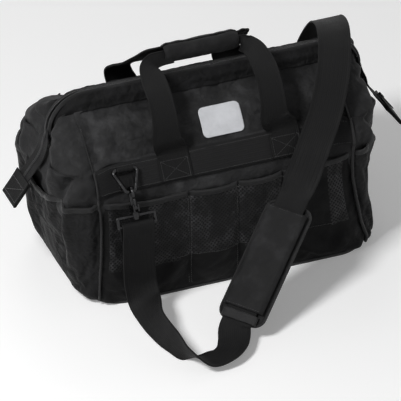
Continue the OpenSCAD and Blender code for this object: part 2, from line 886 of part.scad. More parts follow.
module snap_hook() {
    difference() {
        union() {
            translate([0, 0, -curl_drop]) rotate([90, 0, 90]) rotate_extrude(angle = 180)
                translate([curl_r, 0]) circle(d = wire_d);
            translate([0, curl_r, body_top - wire_d / 2]) cylinder(d = wire_d, h = spine_drop + wire_d / 2);
            translate([0, -curl_r, -curl_drop - tip_drop]) cylinder(d = wire_d, h = tip_drop);
            translate([0, -curl_r, -curl_drop - tip_drop]) sphere(d = wire_d);
            translate([-body_w / 2, -curl_r - wire_d / 2, body_top - body_h])
                cube([body_w, 2 * curl_r + wire_d, body_h]);
            translate([0, 0, body_top - body_h - neck_h]) cylinder(d = neck_d, h = neck_h + overrun);
        }
        translate([-gate_slot / 2, -curl_r - wire_d, body_top - body_h - overrun])
            cube([gate_slot, wire_d + wire_d * 1.2, body_h + 2 * overrun]);
    }
    translate([-body_w / 2, -curl_r, gate_pivot]) rotate([0, 90, 0]) cylinder(d = gate_pin_d, h = body_w);
    translate([0, 0, collar_top - collar_h - seat_gap - swivel_head_h])
        cylinder(d = swivel_head_d, h = swivel_head_h);
    translate([0, 0, collar_top - collar_h - seat_gap - swivel_head_h])
        cylinder(d = swivel_d, h = collar_h + neck_h + swivel_head_h + 2 * seat_gap + overrun);
}

module left_hook() {
    color("#9a9a9a") at_left_hook() snap_hook();
}

module right_hook() {
    color("#9a9a9a") at_right_hook() snap_hook();
}

module hook_gate() {
    top = -curl_drop - tip_drop - wire_d / 2 - running_gap;
    difference() {
        translate([0, -curl_r, gate_pivot]) {
            cylinder(d = gate_d, h = top - gate_pivot - gate_d / 2);
            rotate([0, 90, 0]) cylinder(d = gate_eye_d, h = gate_d, center = true);
            translate([0, 0, top - gate_pivot - gate_d / 2]) sphere(d = gate_d);
        }
        translate([0, -curl_r, gate_pivot]) rotate([0, 90, 0])
            cylinder(d = gate_pin_d + seat_gap, h = gate_d + 2 * overrun, center = true);
    }
}

module left_hook_gate() {
    color("#b0b0b0") at_left_hook() hook_gate();
}

module right_hook_gate() {
    color("#b0b0b0") at_right_hook() hook_gate();
}

// Wire loop on the swivel pin, with the strap's sewn end round its lower bar
strap_end_len = 34;

module swivel_loop() {
    half = loop_w / 2 - wire_d / 2;
    bar_z = collar_top - collar_h / 2;
    difference() {
        union() {
            translate([0, 0, collar_top - collar_h]) cylinder(d = collar_d, h = collar_h);
            rod([-half, 0, bar_z], [half, 0, bar_z], wire_d);
            for (side = [-1, 1]) {
                rod([side * half, 0, loop_bar], [side * half, 0, bar_z], wire_d);
                translate([side * half, 0, bar_z]) sphere(d = wire_d);
                translate([side * half, 0, loop_bar]) sphere(d = wire_d);
            }
            rod([-half, 0, loop_bar], [half, 0, loop_bar], wire_d);
        }
        translate([0, 0, collar_top - collar_h - overrun])
            cylinder(d = swivel_d + seat_gap, h = collar_h + 2 * overrun);
    }
}

module left_swivel_loop() {
    color("#9a9a9a") at_left_hook() swivel_loop();
}

module right_swivel_loop() {
    color("#9a9a9a") at_right_hook() swivel_loop();
}

// Places of the chains in the bag's frame, for the strap and for the joints
function turned(v, a) = [v.x, v.y * cos(a) - v.z * sin(a), v.y * sin(a) + v.z * cos(a)];
ring_bar_place = [-ring_reach, -ring_bar_y, ring_bar_h];
ring_foot_place = ring_bar_place + turned([0, 0, -ring_drop], -ring_lean);
strap_bar_place = ring_foot_place + turned([0, 0, loop_bar], -hook_lean);

// Shoulder strap

// Route from the front left loop over the floor, up through the pad, over the
// ridge and down the back, as shares of the base's length and depth and of the
// bag's height, then the webbing's half-width vector as shares of its width
strap_shares = [
    [[-0.368, -0.616, 0.28], [0.5, 0, 0]],
    [[-0.365, -0.63, 0.17], [0.5, -0.03, 0]],
    [[-0.363, -0.67, 0.12], [0.46, -0.1, 0.17]],
    [[-0.365, -0.76, 0.1], [0.34, -0.12, 0.35]],
    [[-0.37, -0.89, 0.087], [0.14, -0.06, 0.475]],
    [[-0.355, -1.05, 0.085], [0.02, 0, 0.5]],
    [[-0.322, -1.19, 0.085], [0, 0, 0.5]],
    [[-0.265, -1.27, 0.085], [0, 0, 0.5]],
    [[-0.205, -1.265, 0.086], [0.02, -0.03, 0.498]],
    [[-0.165, -1.185, 0.088], [0.16, -0.2, 0.43]],
    [[-0.148, -1.105, 0.083], [0.3, -0.37, 0.15]]
];
// After the pad the strap climbs the front and goes over the ridge
climb_shares = [
    [[0.188, -0.635, 0.56], [0.32, -0.36, -0.14]],
    [[0.262, -0.515, 0.67], [0.38, -0.3, -0.14]],
    [[0.342, -0.4, 0.84], [0.42, -0.22, -0.14]],
    [[0.412, -0.21, 0.985], [0.46, -0.16, -0.08]],
    [[0.458, 0, 1.045], [0.49, -0.08, 0]],
    [[0.487, 0.22, 0.985], [0.5, 0, 0]],
    [[0.498, 0.4, 0.83], [0.5, 0, 0]],
    [[0.5, 0.51, 0.68], [0.5, 0, 0]],
    [[0.5, 0.55, 0.55], [0.5, 0, 0]],
    [[0.5, 0.55, 0.32], [0.5, 0, 0]],
    [[0.495, 0.57, 0.2], [0.5, 0, 0]],
    [[0.475, 0.68, 0.115], [0.49, 0.08, 0]],
    [[0.44, 0.78, 0.12], [0.48, 0.12, 0]],
    [[0.405, 0.78, 0.2], [0.49, 0.08, 0]],
    [[0.38, 0.68, 0.3], [0.5, 0.02, 0]]
];

function strap_place(s) = [s.x * base_len, s.y * base_dep, s.z * bag_h];

// The pad lies on the strap's straight stretch in front of the bag
pad_middle = [0.017 * base_len, -0.848 * base_dep, 0.29 * bag_h];
pad_way = unit([-0.62, -0.465, -0.625]);
pad_across = unit(cross(pad_way, [0, 0, 1])) * -1;
pad_up = cross(pad_way, pad_across);
pad_overhang = 12;

function along_pad(share) = pad_middle + pad_way * pad_len * share;

// Each end of the strap is folded over its loop's bar
fold_r = wire_d / 2 + running_gap + webbing_t / 2;
fold_len = 26;
fold_angles = [0, 45, 90, 135, 180];

// Steps of the fold from its inner end up, over the bar and down its outer side
function fold_steps(bar, out) = [
    [bar + [0, -out * fold_r, -fold_len], [webbing_w / 2, 0, 0]],
    for (a = fold_angles)
        [bar + fold_r * [0, -out * cos(a), sin(a)], [webbing_w / 2, 0, 0]],
    [bar + [0, out * (fold_r + seat_gap), -fold_len], [webbing_w / 2, 0, 0]]
];

strap_lower = [for (s = strap_shares) [strap_place(s[0]), s[1] * webbing_w]];
strap_upper = [for (s = climb_shares) [strap_place(s[0]), s[1] * webbing_w]];
strap_steps = concat(
    fold_steps(strap_bar_place, -1),
    strap_lower,
    [for (share = [0.55, 0.5, 0, -0.5, -0.55]) [along_pad(share), pad_across * webbing_w / 2]],
    strap_upper,
    reversed(fold_steps([-strap_bar_place.x, -strap_bar_place.y, strap_bar_place.z], 1))
);

function strap_thick(i) =
    let (last = len(strap_steps) - 1,
        way = strap_steps[min(i + 1, last)][0] - strap_steps[max(i - 1, 0)][0])
    unit(cross(unit(way), unit(strap_steps[i][1]))) * webbing_t / 2;

module shoulder_strap() {
    color("#3c3c3c") webbing([for (i = [0:len(strap_steps) - 1])
        [strap_steps[i][0], strap_steps[i][1], strap_thick(i)]]);
}

// Pad in its own frame: X along the strap, Y across it, Z away from the bag
module at_pad() {
    multmatrix([
        [pad_way.x, pad_across.x, pad_up.x, pad_middle.x],
        [pad_way.y, pad_across.y, pad_up.y, pad_middle.y],
        [pad_way.z, pad_across.z, pad_up.z, pad_middle.z],
        [0, 0, 0, 1]
    ]) children();
}

pad_room = webbing_t / 2 + running_gap;

module pad_cushion() {
    color("#1e1e1e") at_pad() translate([0, 0, -pad_room - pad_t]) linear_extrude(pad_t)
        rounded_square([pad_len, pad_w], pad_w / 5);
}

// Raised cover sewn along both sides of the strap
module pad_sleeve() {
    cover_w = webbing_w + 2 * cloth_t + 4 * running_gap;
    cover_len = pad_len - 2 * pad_overhang;
    low = -pad_room + seat_gap;
    color("#262626") at_pad() {
        translate([-cover_len / 2, -cover_w / 2, pad_room]) cube([cover_len, cover_w, cloth_t]);
        for (side = [-1, 1]) {
            translate([-cover_len / 2, side * (cover_w - cloth_t) / 2 - cloth_t / 2, low])
                cube([cover_len, cloth_t, pad_room + cloth_t - low]);
        }
    }
}

// Adjuster on the back of the strap: a frame with a middle bar
adjuster_h = 34;
adjuster_t = 3;
adjuster_bar = 6;
adjuster_place = [0.5 * base_len, 0.55 * base_dep, 0.415 * bag_h];

module strap_adjuster() {
    inner_w = webbing_w + 4 * running_gap;
    slot = (adjuster_h - 3 * adjuster_bar) / 2;
    front = webbing_t / 2 + running_gap;
    color("#2c2c2c") translate(adjuster_place) rotate([90, 0, 0]) {
        for (side = [-1, 1]) {
            translate([side * (inner_w + adjuster_bar) / 2, 0, 0])
                cube([adjuster_bar, adjuster_h, 2 * (front + adjuster_t)], center = true);
            translate([-inner_w / 2, side * (adjuster_bar + slot) - adjuster_bar / 2, front])
                cube([inner_w, adjuster_bar, adjuster_t]);
        }
        translate([-inner_w / 2, -adjuster_bar / 2, -front - adjuster_t])
            cube([inner_w, adjuster_bar, adjuster_t]);
    }
}

// Bare sewn label on the front
label_w = 62;
label_h = 42;
label_t = 1;
label_share = 0.42;

module plain_label() {
    middle_z = wall_top + (upper_top - wall_top) * label_share;
    low = middle_z - label_h * 0.3;
    high = middle_z + label_h * 0.3;
    slope = atan2(half_dep(low) - half_dep(high), high - low);
    color("#d8d8d8") translate([0, -half_dep(middle_z) - 3 * label_t, middle_z]) rotate([-slope, 0, 0])
        rotate([90, 0, 0]) linear_extrude(label_t) rounded_square([label_w, label_h], label_h / 8);
}

base_panel();
base_board();
front_wall();
rear_wall();
left_end_wall();
right_end_wall();
front_upper_panel();
rear_upper_panel();
left_front_gusset();
left_rear_gusset();
right_front_gusset();
right_rear_gusset();
front_pocket_panel();
rear_pocket_panel();
left_end_pocket();
right_end_pocket();
front_pocket_dividers();
rear_pocket_dividers();
front_pocket_binding();
rear_pocket_binding();
left_pocket_binding();
right_pocket_binding();
front_inner_pocket();
rear_inner_pocket();
front_webbing_band();
rear_webbing_band();
corner_piping();
left_hinge_rivet();
right_hinge_rivet();
front_frame_bar();
rear_frame_bar();
front_mouth_sleeve();
rear_mouth_sleeve();
front_zip_tape();
rear_zip_tape();
left_zip_tail();
right_zip_tail();
left_zip_tab();
right_zip_tab();
zip_slider();
zip_pull();
front_handle();
rear_handle();
grip_wrap();
grip_flap();
left_ring_anchor();
right_ring_anchor();
left_ring();
right_ring();
left_hook();
right_hook();
left_hook_gate();
right_hook_gate();
left_swivel_loop();
right_swivel_loop();
shoulder_strap();
pad_cushion();
pad_sleeve();
strap_adjuster();
plain_label();
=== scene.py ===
import bmesh
import bpy
import math
import numpy as np
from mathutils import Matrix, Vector, noise
from mathutils.bvhtree import BVHTree


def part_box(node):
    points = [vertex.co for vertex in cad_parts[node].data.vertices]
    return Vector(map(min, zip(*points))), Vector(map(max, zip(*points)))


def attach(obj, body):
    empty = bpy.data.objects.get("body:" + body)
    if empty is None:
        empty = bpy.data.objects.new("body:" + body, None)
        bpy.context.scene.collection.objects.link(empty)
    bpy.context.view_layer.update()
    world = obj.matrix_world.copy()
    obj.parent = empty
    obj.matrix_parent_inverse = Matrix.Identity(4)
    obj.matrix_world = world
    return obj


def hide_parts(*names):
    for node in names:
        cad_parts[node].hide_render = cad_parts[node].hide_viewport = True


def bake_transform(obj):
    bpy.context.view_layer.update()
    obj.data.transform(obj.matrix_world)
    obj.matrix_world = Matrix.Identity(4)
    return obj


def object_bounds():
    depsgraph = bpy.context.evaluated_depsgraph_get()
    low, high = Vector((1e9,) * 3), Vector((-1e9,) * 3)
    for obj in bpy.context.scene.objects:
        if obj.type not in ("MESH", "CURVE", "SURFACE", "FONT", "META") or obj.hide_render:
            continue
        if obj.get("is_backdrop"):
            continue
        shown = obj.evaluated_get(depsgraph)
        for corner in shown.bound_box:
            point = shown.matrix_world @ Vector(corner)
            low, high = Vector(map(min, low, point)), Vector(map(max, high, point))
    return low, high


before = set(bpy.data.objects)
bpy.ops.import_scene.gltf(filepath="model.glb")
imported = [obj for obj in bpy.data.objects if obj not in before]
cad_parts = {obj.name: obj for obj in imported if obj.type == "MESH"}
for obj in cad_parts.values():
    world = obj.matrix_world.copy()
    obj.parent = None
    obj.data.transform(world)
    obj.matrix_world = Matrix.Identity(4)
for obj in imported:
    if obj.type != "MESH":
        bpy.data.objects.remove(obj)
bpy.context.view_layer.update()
MM = 0.001

# ---- Sizes of the bag, in millimetres ----

BASE_LEN, BASE_DEP, BAG_H, CORNER_R, END_BULGE = 430, 250, 290, 50, 40
POCKET_TOP, HINGE_H, HINGE_X, WALL_TOP = 162.98, 207.93, 227.04, 215.93
LEAN = math.radians(12)
STAND, WALL, POCKET_FOOT, UPPER_TOP, SLEEVE_FOOT_Y = 13, 4, 5, 269.5, 22
HANDLE_X, RING_X, DIVIDERS = 84, 159.1, (-68.8, 4.3, 73.1)
LONG_COLS, END_COLS = 110, 96  # columns of the sheets of the long pockets and of the end pockets
HALVES, ENDS = ("front", "rear"), ("left", "right")
TOWARDS = {"left": -1, "right": 1, "front": -1, "rear": 1}


def eased(rows, spread=0.02):
    """Smooth curve through a table of (share of height, value)."""
    grid = np.linspace(-0.1, 1.1, 481)
    line = np.interp(grid, *zip(*rows))
    reach = np.arange(-24, 25) * 0.0025
    weight = np.exp(-((reach / spread) ** 2))
    line = np.convolve(np.pad(line, 24, mode="edge"), weight / weight.sum(), "valid")
    return lambda share: np.interp(share, grid, line)


bulge = eased([(0, -0.02), (0.02, 0.06), (0.06, 0.18), (0.14, 0.23), (0.31, 0.45), (0.45, 0.8), (0.56, 1),
               (0.66, 1), (0.75, 0.93), (0.84, 0.72), (0.9, 0.5), (0.94, 0.2)])
depth = eased([(0, 0.965), (0.04, 0.985), (0.28, 1), (0.45, 0.99), (0.563, 0.965), (0.63, 0.885),
               (0.69, 0.79), (0.745, 0.695), (0.793, 0.6), (0.845, 0.505), (0.89, 0.39), (0.91, 0.29),
               (0.94, 0.17)])
rounding = eased([(0, 0.74), (0.02, 0.68), (0.06, 0.6), (0.25, 0.62), (0.42, 0.85), (0.5, 1), (0.65, 0.86),
                  (0.75, 0.72), (0.84, 0.56), (0.9, 0.42), (0.94, 0.24)])
stand = eased([(0, 1), (0.42, 1), (0.5, 0.6), (0.55, 0.36), (0.6, 0.12), (0.625, 0), (0.7, 0)], 0.006)
dent = eased([(0, 0), (0.52, 0), (0.59, 0.25), (0.66, 0.62), (0.72, 1), (1, 1)])


def half_len(z):
    return BASE_LEN / 2 + END_BULGE * bulge(z / BAG_H)


def half_dep(z):
    return BASE_DEP / 2 * depth(z / BAG_H)


def corner(z):
    return CORNER_R * rounding(z / BAG_H)


def wall_inset(z):
    return STAND * stand(z / BAG_H)


def end_sink(z):
    return 18.3 * dent(z / BAG_H)


def step(x):
    """Smooth rise from 0 to 1."""
    x = np.clip(x, 0, 1)
    return x * x * (3 - 2 * x)


def along(points):
    """Length along a row of points up to each of them."""
    return np.concatenate([[0], np.cumsum(np.linalg.norm(np.diff(points, axis=0), axis=1))])


def evenly(line, count, closed=False, axes=3):
    """Rows set evenly along a line, whose first columns are its places, and the length up to each."""
    place = along(line[:, :axes])
    at = np.linspace(0, place[-1], count, endpoint=not closed)
    return np.stack([np.interp(at, place, column) for column in line.T], 1), at


def seam_x(z):
    """The end panels reach round the corners, so their seams stand upright on the long sides."""
    return 206 - 4 * step((z - 20) / 110) + 3 * step((z - 150) / 40)


def as_filled(points):
    """The bag as it sits: upper corners stand out, the front right and rear left ones sag inwards."""
    p = np.array(points, float)
    x, y, z = p[..., 0].copy(), p[..., 1].copy(), p[..., 2]
    out = 13 * step((abs(x) - 170) / 46) * np.exp(-(((z - 207) / 24) ** 2)) * step(abs(y) / 80)
    p[..., 1] += np.sign(y) * out
    right = np.interp(z, [0, 20, 50, 90, 130, 262, 274], [0, 0, 0.45, 0.75, 1, 1, 0.2])
    p[..., 0] -= 25 * right * step((x - 90) / 140) * step((10 - y) / 70)
    left = np.interp(z, [190, 212, 262, 274], [0, 1, 1, 0])
    p[..., 0] += 10 * left * step((-x - 90) / 140) * step((y - 10) / 70)
    return p


def quarter(z):
    """A quarter of the outline at a height, from the middle of an end to that of a side, and its seam's place."""
    r, reach_x, reach_y = corner(z), half_len(z), half_dep(z)
    a = np.radians(np.linspace(0, 90, 19))
    arc = np.stack([reach_x - r + r * np.cos(a), reach_y - r + r * np.sin(a)], 1)
    line = np.vstack([[[reach_x, 0]], arc, [[0, reach_y]]])
    place = along(line)
    return line, place, np.interp(-seam_x(z), -line[:, 0] + np.arange(len(line)) * 1e-6, place)


def seam_point(z, gap):
    """Place of the first corner's seam at a height, moved inwards by a gap."""
    line, place, cut = quarter(z)
    x, y = [np.interp(cut, place, line[:, k]) for k in (0, 1)]
    before = np.array([np.interp(cut - 2, place, line[:, k]) for k in (0, 1)])
    way = np.array([x, y]) - before
    way /= np.linalg.norm(way)
    return x - gap * way[1], y + gap * way[0]


def outline_row(side, z, count, inset=0.0, seam=None, sink=0.0):
    """One level of the bag's side, from seam to seam, and its outward normals."""
    q, place, cut = quarter(z)
    end = [[np.interp(cut, place, q[:, 0]), np.interp(cut, place, q[:, 1])]]
    if side in HALVES:
        arc = np.vstack([end, q[place > cut + 0.5]])
        line = np.concatenate([arc, (arc * [-1, 1])[::-1][1:]])
    else:
        arc = np.vstack([q[place < cut - 0.5], end])
        line = np.concatenate([(arc * [1, -1])[::-1][:-1], arc])
    row, at = evenly(line, count)
    tangent = np.gradient(row, axis=0)
    tangent /= np.linalg.norm(tangent, axis=1)[:, None]
    out = np.stack([tangent[:, 1], -tangent[:, 0]], 1)
    seam = inset if seam is None else seam
    near = np.minimum(at, at[-1] - at)
    row = row - out * (inset + (seam - inset) * step(1 - near / 16))[:, None]
    if side in ENDS:
        row[:, 0] -= sink * np.cos(np.clip(row[:, 1] / half_dep(z) * 1.25, -1, 1) * math.pi / 2) ** 2
    if TOWARDS[side] < 0:
        row, out = -row, -out
    flat = np.zeros((count, 1))
    return as_filled(np.hstack([row, flat + z])), np.hstack([out, flat])


def side_grid(side, heights, count, inset=lambda z: 0, seam=None, sink=lambda z: 0):
    """Levels of a side, one above another, and their normals."""
    rows = [outline_row(side, z, count, inset(z), seam(z) if seam else None, sink(z)) for z in heights]
    return np.array([r[0] for r in rows]), np.array([r[1] for r in rows])


def grid_of(rows, cols, place):
    """Points given by a function of a row's value and a column's."""
    return np.array([[place(row, col) for col in cols] for row in rows], float)


def normals_of(grid):
    """Outward directions of a grid of points."""
    across, up = np.gradient(grid, axis=1), np.gradient(grid, axis=0)
    n = np.cross(across, up)
    return n / np.maximum(np.linalg.norm(n, axis=2), 1e-9)[..., None]


def rumple(grid, size, depth_mm, seed, stretch=(1, 1, 1), ridged=False):
    """Soft unevenness of cloth at each point, in millimetres."""
    field = np.empty(grid.shape[:2])
    for i, row in enumerate(grid):
        for j, (x, y, z) in enumerate(row):
            at = Vector((x * stretch[0] / size + seed, y * stretch[1] / size, z * stretch[2] / size))
            field[i, j] = noise.fractal(at, 0.9, 2.1, 3)
    return ((0.5 - abs(field)) * 1.6 if ridged else field) * depth_mm


# ---- Meshes ----

def new_object(name, verts, faces, uvs=None, edges=()):
    """Piece from points in millimetres."""
    mesh = bpy.data.meshes.new(name)
    mesh.from_pydata([tuple(v) for v in np.asarray(verts, float) * MM], edges, faces)
    if uvs is not None:
        layer = mesh.uv_layers.new(name="Weave")
        corners = [uvs[v] for f in faces for v in f]
        layer.data.foreach_set("uv", np.array(corners, np.float32).ravel())
    mesh.polygons.foreach_set("use_smooth", [True] * len(faces))
    mesh.update()
    obj = bpy.data.objects.new(name, mesh)
    bpy.context.collection.objects.link(obj)
    return obj


def cloth_sheet(name, grid):
    """Open sheet of quads with its thread directions in its UV map, in millimetres."""
    rows, cols = grid.shape[:2]
    u = along(grid[rows // 2])
    v = along(grid[:, cols // 2])
    uvs = [(u[j], v[i]) for i in range(rows) for j in range(cols)]
    faces = [(i * cols + j, i * cols + j + 1, (i + 1) * cols + j + 1, (i + 1) * cols + j)
             for i in range(rows - 1) for j in range(cols - 1)]
    return new_object(name, grid.reshape(-1, 3), faces, uvs)


def smooth_path(points, count, closed=False):
    """Points spread evenly along a curve through the given ones."""
    p = np.asarray(points, float)
    if closed:
        p = np.vstack([p, p[:1]])
    p = p[np.concatenate([[True], np.linalg.norm(np.diff(p[:, :3], axis=0), axis=1) > 1e-4])]
    gap = np.linalg.norm(np.diff(p[:, :3], axis=0), axis=1)[:, None]
    slope = np.diff(p, axis=0) / gap
    first, last = (-1, 0) if closed else (0, -1)
    before, after = np.vstack([slope[first], slope]), np.vstack([slope, slope[last]])
    gap_before, gap_after = np.vstack([gap[first], gap]), np.vstack([gap, gap[last]])
    tangent = (before * gap_after + after * gap_before) / (gap_before + gap_after)
    out = []
    for i in range(len(p) - 1):
        for t in np.linspace(0, 1, 16, endpoint=False):
            out.append((2 * t ** 3 - 3 * t ** 2 + 1) * p[i] + (t ** 3 - 2 * t ** 2 + t) * gap[i] * tangent[i]
                       + (3 * t ** 2 - 2 * t ** 3) * p[i + 1] + (t ** 3 - t ** 2) * gap[i] * tangent[i + 1])
    out.append(p[-1])
    return evenly(np.array(out), count, closed)[0]


def ring_skin(name, points, run, about, closed=False):
    """Skin through rings of equal count, in a loop or capped at both ends."""
    n = len(run)
    m = len(points) // n
    uvs = [(about[j], run[i]) for i in range(n) for j in range(m)]
    faces = []
    for i in range(n if closed else n - 1):
        k = (i + 1) % n
        faces += [(i * m + j, i * m + (j + 1) % m, k * m + (j + 1) % m, k * m + j) for j in range(m)]
    if not closed:
        faces += [tuple(range(m))[::-1], tuple((n - 1) * m + j for j in range(m))]
    return new_object(name, points, faces, uvs)


def sweep(name, centres, side, thick, profile, closed=False):
    """Carries a closed profile of (across, through) points along a path."""
    points = [c + s * x + t * y for c, s, t in zip(centres, side, thick) for x, y in profile]
    return ring_skin(name, points, along(centres), along(np.vstack([profile, profile[:1]])), closed)


def ribbon(name, steps, thick, count, edge=0.35):
    """Flat webbing with firm, slightly thicker edges through (place, half-width) steps."""
    both = smooth_path(steps, count)
    centres, side = both[:, :3], both[:, 3:]
    half = np.linalg.norm(side, axis=1)
    way = np.gradient(centres, axis=0)
    way /= np.linalg.norm(way, axis=1)[:, None]
    side = side - way * np.sum(side * way, 1)[:, None]
    side /= np.linalg.norm(side, axis=1)[:, None]
    through = np.cross(way, side)
    w, t = half.max(), thick / 2
    right = [(w - 0.1, 0), (w - 0.5, t * 0.9), (w - 1.6, t * (1 + edge))]
    upper = right + [(x, t) for x in np.linspace(w - 2.6, 2.6 - w, 9)] + [(-x, y) for x, y in reversed(right)]
    profile = np.array(upper + [(x, -y) for x, y in reversed(upper[1:-1])])
    return sweep(name, centres, side * (half / w)[:, None], through, profile)


def tube(name, path, radius, sides, closed=False, up=(0, 0, 1)):
    """Round cord along a path that never runs along the given direction."""
    path = np.asarray(path, float)
    if closed:
        way = np.roll(path, -1, 0) - np.roll(path, 1, 0)
    else:
        way = np.gradient(path, axis=0)
    way /= np.linalg.norm(way, axis=1)[:, None]
    side = np.cross(way, np.array(up, float))
    side /= np.maximum(np.linalg.norm(side, axis=1), 1e-6)[:, None]
    through = np.cross(side, way)
    a = np.linspace(0, 2 * math.pi, sides, endpoint=False)
    profile = np.stack([radius * np.cos(a), radius * np.sin(a)], 1)
    return sweep(name, path, side, through, profile[::-1], closed)


def flip_out(obj):
    """Turns the faces of a closed mesh outwards."""
    bm = bmesh.new()
    bm.from_mesh(obj.data)
    bmesh.ops.recalc_face_normals(bm, faces=bm.faces)
    bm.to_mesh(obj.data)
    bm.free()
    return obj


def soften(obj, levels=1):
    mod = obj.modifiers.new("round", "SUBSURF")
    mod.levels = mod.render_levels = levels
    return obj


def thicken(obj, thick, offset=-1.0):
    mod = obj.modifiers.new("thickness", "SOLIDIFY")
    mod.thickness = thick * MM
    mod.offset = offset
    mod.use_even_offset = False
    return obj


def baked(obj):
    """Turns an object with its modifiers into a plain mesh."""
    graph = bpy.context.evaluated_depsgraph_get()
    mesh = bpy.data.meshes.new_from_object(obj.evaluated_get(graph), depsgraph=graph)
    obj.modifiers.clear()
    obj.data = mesh
    return obj


# ---- Finishes ----

class Finish:
    """A material with its nodes made one after another."""

    def __init__(self, name, colour, rough, **sockets):
        self.mat = bpy.data.materials.new(name)
        self.mat.use_nodes = True
        self.tree = self.mat.node_tree
        self.shader = self.tree.nodes["Principled BSDF"]
        self.colour = colour
        self.shader.inputs["Base Color"].default_value = (*colour, 1)
        self.shader.inputs["Roughness"].default_value = rough
        for socket, value in sockets.items():
            self.shader.inputs[socket.replace("_", " ")].default_value = value
        self.mat.diffuse_color = (*colour, 1)

    def node(self, kind, *links, **settings):
        made = self.tree.nodes.new(kind)
        for key, value in settings.items():
            setattr(made, key, value)
        for i, link in enumerate(links):
            self.feed(made.inputs[i], link)
        return made

    def feed(self, socket, value):
        if isinstance(value, bpy.types.NodeSocket):
            self.tree.links.new(value, socket)
        elif isinstance(value, bpy.types.Node):
            self.tree.links.new(value.outputs[0], socket)
        elif value is not None:
            socket.default_value = value

    def math(self, operation, *values):
        return self.node("ShaderNodeMath", *values, operation=operation)

    def uv(self, through=False):
        """Thread directions in millimetres, from the UV map or, where a piece has none, from its own space."""
        coords = self.node("ShaderNodeTexCoord")
        place = coords.outputs["UV"]
        if through:
            place = self.node("ShaderNodeMapping", coords.outputs["Object"])
            place.inputs["Rotation"].default_value = (0.5, 0.6, 0.64)
            place.inputs["Scale"].default_value = (1000, 1000, 1000)
        split = self.node("ShaderNodeSeparateXYZ", place)
        return split.outputs[0], split.outputs[1]

    def noise(self, size_mm, detail=3, rough=0.5, stretch=(1, 1, 1)):
        coords = self.node("ShaderNodeTexCoord")
        place = self.node("ShaderNodeMapping", coords.outputs["Object"])
        place.inputs["Scale"].default_value = stretch
        made = self.node("ShaderNodeTexNoise", place)
        made.inputs["Scale"].default_value = 1 / (size_mm * MM)
        made.inputs["Detail"].default_value = detail
        made.inputs["Roughness"].default_value = rough
        return made.outputs[0]

    def ramp(self, value, *stops):
        made = self.node("ShaderNodeValToRGB", value)
        bar = made.color_ramp.elements
        while len(bar) < len(stops):
            bar.new(0.5)
        for element, (place, shade) in zip(bar, stops):
            element.position = place
            element.color = (*[c * shade for c in self.colour], 1) if np.isscalar(shade) else (*shade, 1)
        return made.outputs[0]

    def mix(self, share, a, b):
        made = self.node("ShaderNodeMix", data_type="RGBA")
        self.feed(made.inputs[0], share)
        self.feed(made.inputs[6], a)
        self.feed(made.inputs[7], b)
        return made.outputs[2]

    def level(self, value, low, high, out_low, out_high):
        made = self.node("ShaderNodeMapRange", value, low, high, out_low, out_high)
        return made.outputs[0]

    def relief(self, height, mm, before=None):
        bump = self.node("ShaderNodeBump")
        self.feed(bump.inputs["Height"], height)
        bump.inputs["Distance"].default_value = mm * MM
        bump.inputs["Strength"].default_value = 1
        if before is not None:
            self.feed(bump.inputs["Normal"], before)
        return bump.outputs[0]

    def done(self, colour=None, rough=None, normal=None):
        for socket, value in (("Base Color", colour), ("Roughness", rough), ("Normal", normal)):
            if value is not None:
                self.feed(self.shader.inputs[socket], value)
        return self.mat

    def sine(self, value, pitch_mm):
        turn = self.math("MULTIPLY", value, 2 * math.pi / pitch_mm)
        return self.math("MULTIPLY_ADD", self.math("SINE", turn), 0.5, 0.5)


# Painted shade: near-black colour for the shadow in the gaps between threads and ribs
THREAD_GAP_SHADE = (0.003, 0.003, 0.003, 1)


def woven(name, colour, pitch, relief, rough=0.72, crease=0.9, sheen=0.02, through=False):
    """Coated pack cloth: fine plain weave with painted shade between its threads, soft creases and rubbed, dusty
    patches.
    """
    f = Finish(name, colour, rough, Sheen_Weight=sheen, Sheen_Roughness=0.45, Specular_IOR_Level=0.13)
    u, v = f.uv(through)
    weave = f.math("MULTIPLY", f.sine(u, pitch), f.sine(v, pitch))
    rubbed = f.noise(34, 4, 0.6)
    shade = f.ramp(rubbed, (0.34, 0.5), (0.52, 1.0), (0.68, 2.1))
    # Painted shade: the weave darkens towards near black where its threads part
    threads = f.mix(f.level(weave, 0, 1, 0, 0.55), shade, (0.002, 0.002, 0.002, 1))
    sharp = f.math("ABSOLUTE", f.math("SUBTRACT", f.noise(42, 3, 0.5), 0.5))
    creases = f.relief(f.noise(15, 5, 0.6), crease, f.relief(f.math("MINIMUM", sharp, 0.12), crease * 9))
    return f.done(threads, f.level(rubbed, 0.3, 0.7, rough - 0.1, rough + 0.12), f.relief(weave, relief, creases))


def webbing_finish(name, colour, rough=0.62):
    """Heavy webbing: columns of slanting threads, ribbed along, with painted shade between them and patches of wear
    and painted highlight.
    """
    f = Finish(name, colour, rough, Sheen_Weight=0.01, Sheen_Roughness=0.4, Specular_IOR_Level=0.12)
    u, v = f.uv()
    column = f.math("PINGPONG", u, 3.0)
    slant = f.math("ADD", v, f.math("MULTIPLY", column, 0.45))
    rows = f.sine(slant, 1.5)
    ribs = f.sine(u, 3.0)
    height = f.math("ADD", f.math("MULTIPLY", rows, 0.6), f.math("MULTIPLY", ribs, 0.5))
    worn = f.noise(26, 4, 0.6)
    # Wear and painted highlight: patches of the colour lighten by up to half again
    shade = f.ramp(worn, (0.3, 0.75), (0.55, 1.0), (0.78, 1.5))
    # Painted shade between the threads
    threads = f.mix(f.level(height, 0.2, 1.1, 0.55, 0), shade, THREAD_GAP_SHADE)
    return f.done(threads, f.level(worn, 0.3, 0.7, rough - 0.08, rough + 0.1),
                  f.relief(height, 0.28, f.relief(f.noise(30, 3), 0.5)))


